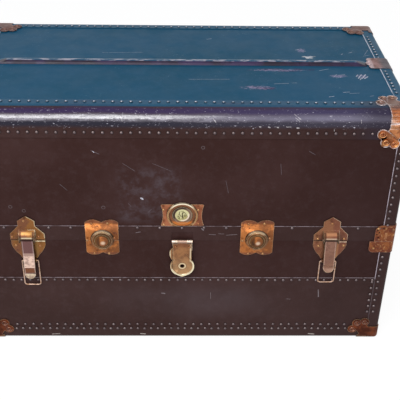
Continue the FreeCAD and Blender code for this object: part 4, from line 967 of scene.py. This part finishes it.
def on_both_sides(pairs):
    """The finishes of paired nodes, by the nodes' full names."""
    return {f"{side}_{name}": finish.format(side) for side in SIDES for name, finish in pairs.items()}


# ---- rows of nails -----------------------------------------------------------------------------
NAILED_OVER = [name for name in on_both_sides(PAIR_PLATE_FINISH) if not name.endswith(("_strap", "_loops"))]
PLATE_MARGIN = 3.0 * MM            # nails keep this far from the plates
STRIP_NAIL = 19.0 * MM             # nail row from the case's edge, on the end strips
FRONT_ROW_BACK = 43.7 * MM         # top row behind the front
FRONT_ROW_DOWN = 44.7 * MM         # front row below the top
BACK_ROW = 20.0 * MM               # rows at the back, from the edge
FOOT_ROW_UP = 29.0 * MM            # rows above the bottom
PANEL_FOOT_ROW_UP = 41.5 * MM
PANEL_ROW_DOWN = 5.5 * MM          # panel's row below its top edge
PANEL_END_ROW = 32.0 * MM          # panel's rows from the case's ends
VALANCE_ROW_DOWN = 3.4 * MM
VALANCE_ROW_END = 15.0 * MM        # last valance nail from the strip's row
CORNER_ROOM = 62.0 * MM            # first and last nail of a row from the corner
RIM_ROOM = 42.0 * MM               # upright rows from the halves' rims
LAST_NAIL_DOWN = 10.0 * MM         # upright rows of the lid end this much lower
CLOSE = 0.85                       # pitch of the close rows, as a share
NAIL_SINK = 0.15 * MM
NAIL_SIZES = (0.92, 1.06)          # smallest and largest head, as a share
NAIL_SEED = 11


def clear_of(point, boxes):
    for low, high in boxes:
        if all(low[i] - PLATE_MARGIN < point[i] < high[i] + PLATE_MARGIN for i in range(3)):
            return False
    return True


def row(start, end, pitch):
    start, end = Vector(start), Vector(end)
    count = max(1, round((end - start).length / pitch))
    return [start.lerp(end, i / count) for i in range(count + 1)]


def along(half, y, z, pitch):
    """Row along the case, as long on either side of the middle."""
    return row((-half, y, z), (half, y, z), pitch)


def deep(x, z, pitch):
    """Row from front to back, between the corners."""
    return row((x, FRONT + CORNER_ROOM, z), (x, BACK - CORNER_ROOM, z), pitch)


def end_rows(side, low, high, pitch):
    """Upright rows about one end of a half: on the front and the back, and on the end face."""
    strip = END - STRIP_NAIL
    front = (row((side * strip, FRONT, low), (side * strip, FRONT, high), pitch), FORWARD)
    back = (row((side * strip, BACK, low), (side * strip, BACK, high), pitch), BACKWARD)
    edges = [(row((side * END, y, low), (side * END, y, high), pitch), (side, 0, 0))
             for y in (FRONT + STRIP_NAIL, BACK - STRIP_NAIL)]
    return [front, back], edges


def lid_rows(pitch, valance_pitch):
    """(points, normal) of the nail rows on the lid."""
    span, strip = END - CORNER_ROOM, END - STRIP_NAIL
    line = VALANCE_TOP - VALANCE_ROW_DOWN
    rows = [(along(span, FRONT + FRONT_ROW_BACK, TOP, pitch), UPWARD),
            (along(span, BACK - BACK_ROW, TOP, pitch), UPWARD),
            (along(span, FRONT, TOP - FRONT_ROW_DOWN, pitch), FORWARD),
            (along(span, BACK, TOP - BACK_ROW, pitch), BACKWARD),
            (along(strip - VALANCE_ROW_END, VALANCE_FACE, line, valance_pitch), FORWARD),
            (along(span, -VALANCE_FACE, line, valance_pitch), BACKWARD)]
    for side in (-1, 1):
        faces, edges = end_rows(side, LID_RIM + RIM_ROOM, TOP - CORNER_ROOM - LAST_NAIL_DOWN, pitch)
        rows += [(deep(side * strip, TOP, CLOSE * pitch), UPWARD), *faces,
                 (deep(side * END, TOP - STRIP_NAIL, pitch), (side, 0, 0)), *edges,
                 (deep(side * VALANCE_END, line, valance_pitch), (side, 0, 0))]
    return rows


def lower_rows(pitch):
    """(points, normal) of the nail rows on the lower half."""
    span, band = END - CORNER_ROOM, END - PANEL_END_ROW
    foot, band_top = BOTTOM + CORNER_ROOM, PANEL_TOP - 2 * PANEL_ROW_DOWN
    rows = [(along(band, PANEL_FACE, PANEL_TOP - PANEL_ROW_DOWN, pitch), FORWARD),
            (along(span, PANEL_FACE, BOTTOM + PANEL_FOOT_ROW_UP, pitch), FORWARD),
            (along(span, FRONT, BOTTOM + FOOT_ROW_UP, CLOSE * pitch), FORWARD),
            (along(span, BACK, BOTTOM + FOOT_ROW_UP, pitch), BACKWARD)]
    for side in (-1, 1):
        faces, edges = end_rows(side, foot, LOWER_RIM - RIM_ROOM, pitch)
        panel_end = row((side * band, PANEL_FACE, foot), (side * band, PANEL_FACE, band_top), pitch)
        rows += [*faces, (panel_end, FORWARD),
                 (deep(side * END, BOTTOM + STRIP_NAIL, pitch), (side, 0, 0)), *edges]
    return rows


def strayed(rows, wander, chance):
    """Nail places of the rows, each a little off its line and clear of the plates."""
    boxes = [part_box(name) for name in ["lock_plate", *LEAVES, *NAILED_OVER]]
    places = []
    for points, normal in rows:
        for point in points:
            if not clear_of(point, boxes):
                continue
            off = [chance.uniform(-wander, wander) * (1 - abs(n)) for n in normal]
            sink = Vector(normal) * NAIL_SINK
            places.append((point + Vector(off) - sink, normal, chance.uniform(*NAIL_SIZES)))
    return places


# ---- operators ---------------------------------------------------------------------------------
# lamps: name, place, width and height, share of the key's power
LAMPS = [("key", (-1.0, -2.15, 2.85), (2.4, 1.5), 1.0), ("fill", (2.4, -1.6, 1.9), (1.6, 1.6), 0.16)]
LAMP_AIM = Vector((-0.15, FRONT, 0.5 * TOP))
SKY = (0.94, 0.96, 1.0, 1.0)
FLOOR_SIZE = 60.0
FLOOR_GLOW = 1.06                  # strength at which the seen floor is white
FLOOR_GLOW_SHARE = 0.86            # the rest keeps the shadow
SENSOR_WIDTH = 36.0                # millimetres


class TRUNK_OT_stage(bpy.types.Operator):
    """Floor, pale surroundings, soft lamps and the camera"""

    bl_idname = "trunk.stage"
    bl_label = "Stage"

    def execute(self, context):
        s = context.scene.trunk_stage
        self.floor(context, s)
        self.surroundings(context, s)
        self.lamps(context, s)
        self.camera(context, s)
        context.scene.view_settings.view_transform = "Standard"
        return {"FINISHED"}

    def floor(self, context, s):
        bpy.ops.object.select_all(action="DESELECT")
        bpy.ops.mesh.primitive_plane_add(size=FLOOR_SIZE, location=(0, 0, 0))
        floor = context.active_object
        floor.name = "floor"
        f = Finish("pale_floor", s.floor)
        f.surface(0.9, specular=0.0)
        glow = f.add("ShaderNodeEmission", {"Color": "FFFFFF", "Strength": FLOOR_GLOW})
        share = f.times(f.seen(), FLOOR_GLOW_SHARE)
        mixed = f.add("ShaderNodeMixShader", {0: share, 1: f.shader.outputs[0], 2: glow.outputs[0]})
        f.put(f.tree.nodes["Material Output"].inputs["Surface"], mixed.outputs[0])
        floor.data.materials.append(f.material)

    def surroundings(self, context, s):
        world = bpy.data.worlds.new("surroundings")
        context.scene.world = world
        world.use_nodes = True
        n = Nodes(world.node_tree)
        shown = n.tree.nodes["Background"]
        n.put(shown.inputs["Color"], "FFFFFF")
        n.put(shown.inputs["Strength"], 1.0)
        around = n.add("ShaderNodeBackground", {"Color": SKY, "Strength": s.ambient})
        mixed = n.add("ShaderNodeMixShader", {0: n.seen(), 1: around.outputs[0], 2: shown.outputs[0]})
        n.put(n.tree.nodes["World Output"].inputs["Surface"], mixed.outputs[0])

    def lamps(self, context, s):
        for name, place, size, share in LAMPS:
            lamp = bpy.data.lights.new(name, "AREA")
            lamp.shape = "RECTANGLE"
            lamp.size, lamp.size_y = size
            lamp.energy = share * s.key_power
            holder = bpy.data.objects.new(name, lamp)
            holder.location = place
            holder.rotation_euler = (LAMP_AIM - Vector(place)).to_track_quat("-Z", "Y").to_euler()
            context.scene.collection.objects.link(holder)

    def camera(self, context, s):
        side = Vector((math.cos(s.yaw), math.sin(s.yaw), 0))
        ahead = Vector((-math.sin(s.yaw), math.cos(s.yaw), 0))
        up = ahead * math.sin(s.pitch) + Vector((0, 0, math.cos(s.pitch)))
        back = -(ahead * math.cos(s.pitch) - Vector((0, 0, math.sin(s.pitch))))
        right = side * math.cos(s.roll) + up * math.sin(s.roll)
        up = up * math.cos(s.roll) - side * math.sin(s.roll)
        data = bpy.data.cameras.new("camera")
        data.lens, data.sensor_width = s.lens, SENSOR_WIDTH
        camera = bpy.data.objects.new("camera", data)
        turn = Matrix((right, up, back)).transposed()
        camera.matrix_world = Matrix.Translation(s.camera) @ turn.to_4x4()
        context.scene.collection.objects.link(camera)
        context.scene.camera = camera


class TRUNK_OT_case(bpy.types.Operator):
    """Enamel, cloth and wood on the case, leather on the handles, wire on the pins"""

    bl_idname = "trunk.case"
    bl_label = "Case"

    def execute(self, context):
        for node, finish in {**NODE_FINISH, **on_both_sides(PAIR_FINISH)}.items():
            data = frame["nodes"][node].data
            data.materials.clear()
            data.materials.append(material(finish))
        return {"FINISHED"}


class TRUNK_OT_plates(bpy.types.Operator):
    """Pressed plates with tarnished and rusted plating, their pale edges partly wear and partly a painted
    highlight
    """

    bl_idname = "trunk.plates"
    bl_label = "Plates"

    def execute(self, context):
        for node, finish in {**PLATE_FINISH, **on_both_sides(PAIR_PLATE_FINISH)}.items():
            pressed(node, finish)
        return {"FINISHED"}


class TRUNK_OT_nails(bpy.types.Operator):
    """Rows of domed nails along the fibre strips"""

    bl_idname = "trunk.nails"
    bl_label = "Nails"

    def execute(self, context):
        s = context.scene.trunk_nails
        chance = random.Random(NAIL_SEED)
        for name, body, rows in (("lid_nails", "lid", lid_rows(s.pitch, s.valance_pitch)),
                                 ("lower_nails", "lower_half", lower_rows(s.pitch))):
            model = dome("nail_model", s.radius, s.height)
            piece = planted(model, name, strayed(rows, s.wander, chance))
            dress(piece, "nail_enamel", body)
        return {"FINISHED"}


# rivets on the front as (x, z) in millimetres, by the piece that they hold
FRONT_RIVETS = {
    "left_latch_plate": [(-331.8, 334.0), (-360.0, 293.5), (-303.8, 293.7)],
    "right_latch_plate": [(318.3, 329.6), (291.2, 290.5), (347.2, 290.7)],
    "left_latch_catch": [(-353.5, 271.7), (-302.8, 270.6)],
    "right_latch_catch": [(293.6, 271.9), (348.1, 273.0)],
    "left_dowel_boss": [(-190.4, 328.5), (-156.7, 328.9), (-201.5, 285.0), (-143.4, 290.9)],
    "right_dowel_boss": [(140.6, 328.5), (174.3, 328.9), (129.5, 285.0), (187.6, 290.9)],
    "left_dowel_tongue": [(-187.6, 250.5), (-156.3, 250.5)],
    "right_dowel_tongue": [(143.4, 250.5), (174.7, 250.5)],
    "lock_plate": [(-38.5, 363.7), (-38.5, 326.4), (34.0, 363.5), (34.8, 328.0)],
    "hasp": [(-13.4, 268.5), (16.1, 268.5)],
    "lid_seam_clamps": [(419.0, 314.0), (-419.0, 314.0)],
    "lower_seam_clamps": [(415.1, 261.9), (-415.1, 261.9)],
}
RIVET_FACES = {"hasp": HASP_FACE, "lid_seam_clamps": BRACKET_FRONT, "lower_seam_clamps": BRACKET_FRONT}
RIVET_SINK = 0.1 * MM
LEAF_SHEET = 2.0 * MM              # sheet of the back hinges
LEAF_RIVET_IN = 13.0 * MM          # their rivets from the leaf's sides
LEAF_RIVETS_UP = (16.0 * MM, 36.0 * MM)    # and from the rim
# centres of the pressed scrolls from the corner's two edges, and their further shift at the large round
SCROLLS = [(60.0, 27.5), (51.5, 45.5), (34.0, 48.5)]
ROUND_SHIFT = 18.0
SCROLL_WIRE = 0.16                 # radius of a scroll's wire, as a share of the scroll's
SCROLL_STEPS = 22
SCROLL_TURN = math.radians(28)     # turn of each step along the wire
SCROLL_SHRINK = (0.95, 0.95, 0.97)    # and how it draws in


def scroll(name, radius):
    """Flat volute of half-sunk wire."""
    bpy.ops.object.select_all(action="DESELECT")
    tube = SCROLL_WIRE * radius
    bpy.ops.mesh.primitive_circle_add(vertices=6, radius=tube, fill_type="NGON",
                                      location=(radius - tube, 0, 0), rotation=(math.pi / 2, 0, 0))
    wire = settle(bpy.context.active_object)
    wire.name = name
    bpy.ops.object.mode_set(mode="EDIT")
    bpy.ops.mesh.select_all(action="SELECT")
    for _ in range(SCROLL_STEPS):
        bpy.ops.mesh.extrude_region_move()
        bpy.ops.transform.rotate(value=SCROLL_TURN, orient_axis="Z", center_override=(0, 0, 0))
        bpy.ops.transform.resize(value=SCROLL_SHRINK, center_override=(0, 0, 0))
    bpy.ops.mesh.select_all(action="SELECT")
    bpy.ops.mesh.normals_make_consistent(inside=False)
    bpy.ops.object.mode_set(mode="OBJECT")
    smooth(wire, 60.0)
    return wire


def scroll_places(side, end, level):
    """Places of one bracket's scrolls: side and end are -1 or 1, level is -1 at the floor."""
    x, y, z = side * END, (FRONT if end < 0 else BACK), (TOP if level > 0 else BOTTOM)
    shift = ROUND_SHIFT if end < 0 and level > 0 else 0.0
    places = []
    for u, v in SCROLLS:
        u, v = u * MM, (v + shift) * MM
        places.append(((x - side * u, y + end * BRACKET, z - level * v), (0, end, 0), 1.0))
        if level > 0:
            places.append(((x - side * u, y - end * v, z + BRACKET), UPWARD, 1.0))
        places.append(((x + side * BRACKET, y - end * u, z - level * v), (side, 0, 0), 1.0))
    return places


class TRUNK_OT_scrolls(bpy.types.Operator):
    """Pressed volutes on the lobes of the corner brackets"""

    bl_idname = "trunk.scrolls"
    bl_label = "Scrolls"

    def execute(self, context):
        radius = context.scene.trunk_nails.scroll_radius
        corners = [(side, end) for side in (-1, 1) for end in (-1, 1)]
        for word, level, body, finish in (("top", 1, "lid", "scroll_plating"),
                                          ("bottom", -1, "lower_half", "foot_scroll_plating")):
            places = [place for side, end in corners for place in scroll_places(side, end, level)]
            piece = planted(scroll("scroll_model", radius), word + "_bracket_scrolls", places)
            dress(piece, finish, body)
        return {"FINISHED"}


class TRUNK_OT_rivets(bpy.types.Operator):
    """Domed rivets through the plates on the front and through the back hinges"""

    bl_idname = "trunk.rivets"
    bl_label = "Rivets"

    def execute(self, context):
        s = context.scene.trunk_nails
        places = {"lid": [], "lower_half": [], "hasp": []}
        for node, points in FRONT_RIVETS.items():
            y = RIVET_FACES.get(node, PLATE_FACE) + RIVET_SINK
            places[body_of(node)] += [((x * MM, y, z * MM), FORWARD, 1.0) for x, z in points]
        for leaf in LEAVES:
            low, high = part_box(leaf)
            y = low.y + LEAF_SHEET - RIVET_SINK
            for x in (low.x + LEAF_RIVET_IN, high.x - LEAF_RIVET_IN):
                for up in LEAF_RIVETS_UP:
                    z = LID_RIM + up if body_of(leaf) == "lid" else LOWER_RIM - up
                    places[body_of(leaf)].append(((x, y, z), BACKWARD, 1.0))
        for body, spots in places.items():
            piece = planted(dome("rivet_model", s.rivet_radius, s.rivet_height), body + "_rivets", spots)
            dress(piece, "rivet_plating", body)
        return {"FINISHED"}


OPERATORS = (TRUNK_OT_stage, TRUNK_OT_case, TRUNK_OT_plates,
             TRUNK_OT_scrolls, TRUNK_OT_rivets, TRUNK_OT_nails)


class TRUNK_PT_panel(bpy.types.Panel):
    """Builds the trunk's looks step by step"""

    bl_label = "Travel Trunk"
    bl_idname = "TRUNK_PT_panel"
    bl_space_type = "VIEW_3D"
    bl_region_type = "UI"
    bl_category = "Trunk"

    def draw(self, context):
        for operator in OPERATORS:
            self.layout.operator(operator.bl_idname)
        for settings in (context.scene.trunk_finish, context.scene.trunk_nails, context.scene.trunk_stage):
            column = self.layout.column()
            for name in settings.__annotations__:
                column.prop(settings, name)


CLASSES = (TrunkFinishSettings, TrunkNailSettings, TrunkStageSettings, *OPERATORS, TRUNK_PT_panel)


def register():
    for cls in CLASSES:
        bpy.utils.register_class(cls)
    bpy.types.Scene.trunk_finish = bpy.props.PointerProperty(type=TrunkFinishSettings)
    bpy.types.Scene.trunk_nails = bpy.props.PointerProperty(type=TrunkNailSettings)
    bpy.types.Scene.trunk_stage = bpy.props.PointerProperty(type=TrunkStageSettings)


def unregister():
    del bpy.types.Scene.trunk_stage
    del bpy.types.Scene.trunk_nails
    del bpy.types.Scene.trunk_finish
    for cls in reversed(CLASSES):
        bpy.utils.unregister_class(cls)


def main():
    register()
    bpy.ops.trunk.stage()
    bpy.ops.trunk.case()
    bpy.ops.trunk.plates()
    bpy.ops.trunk.scrolls()
    bpy.ops.trunk.rivets()
    bpy.ops.trunk.nails()


if __name__ == "__main__":
    main()
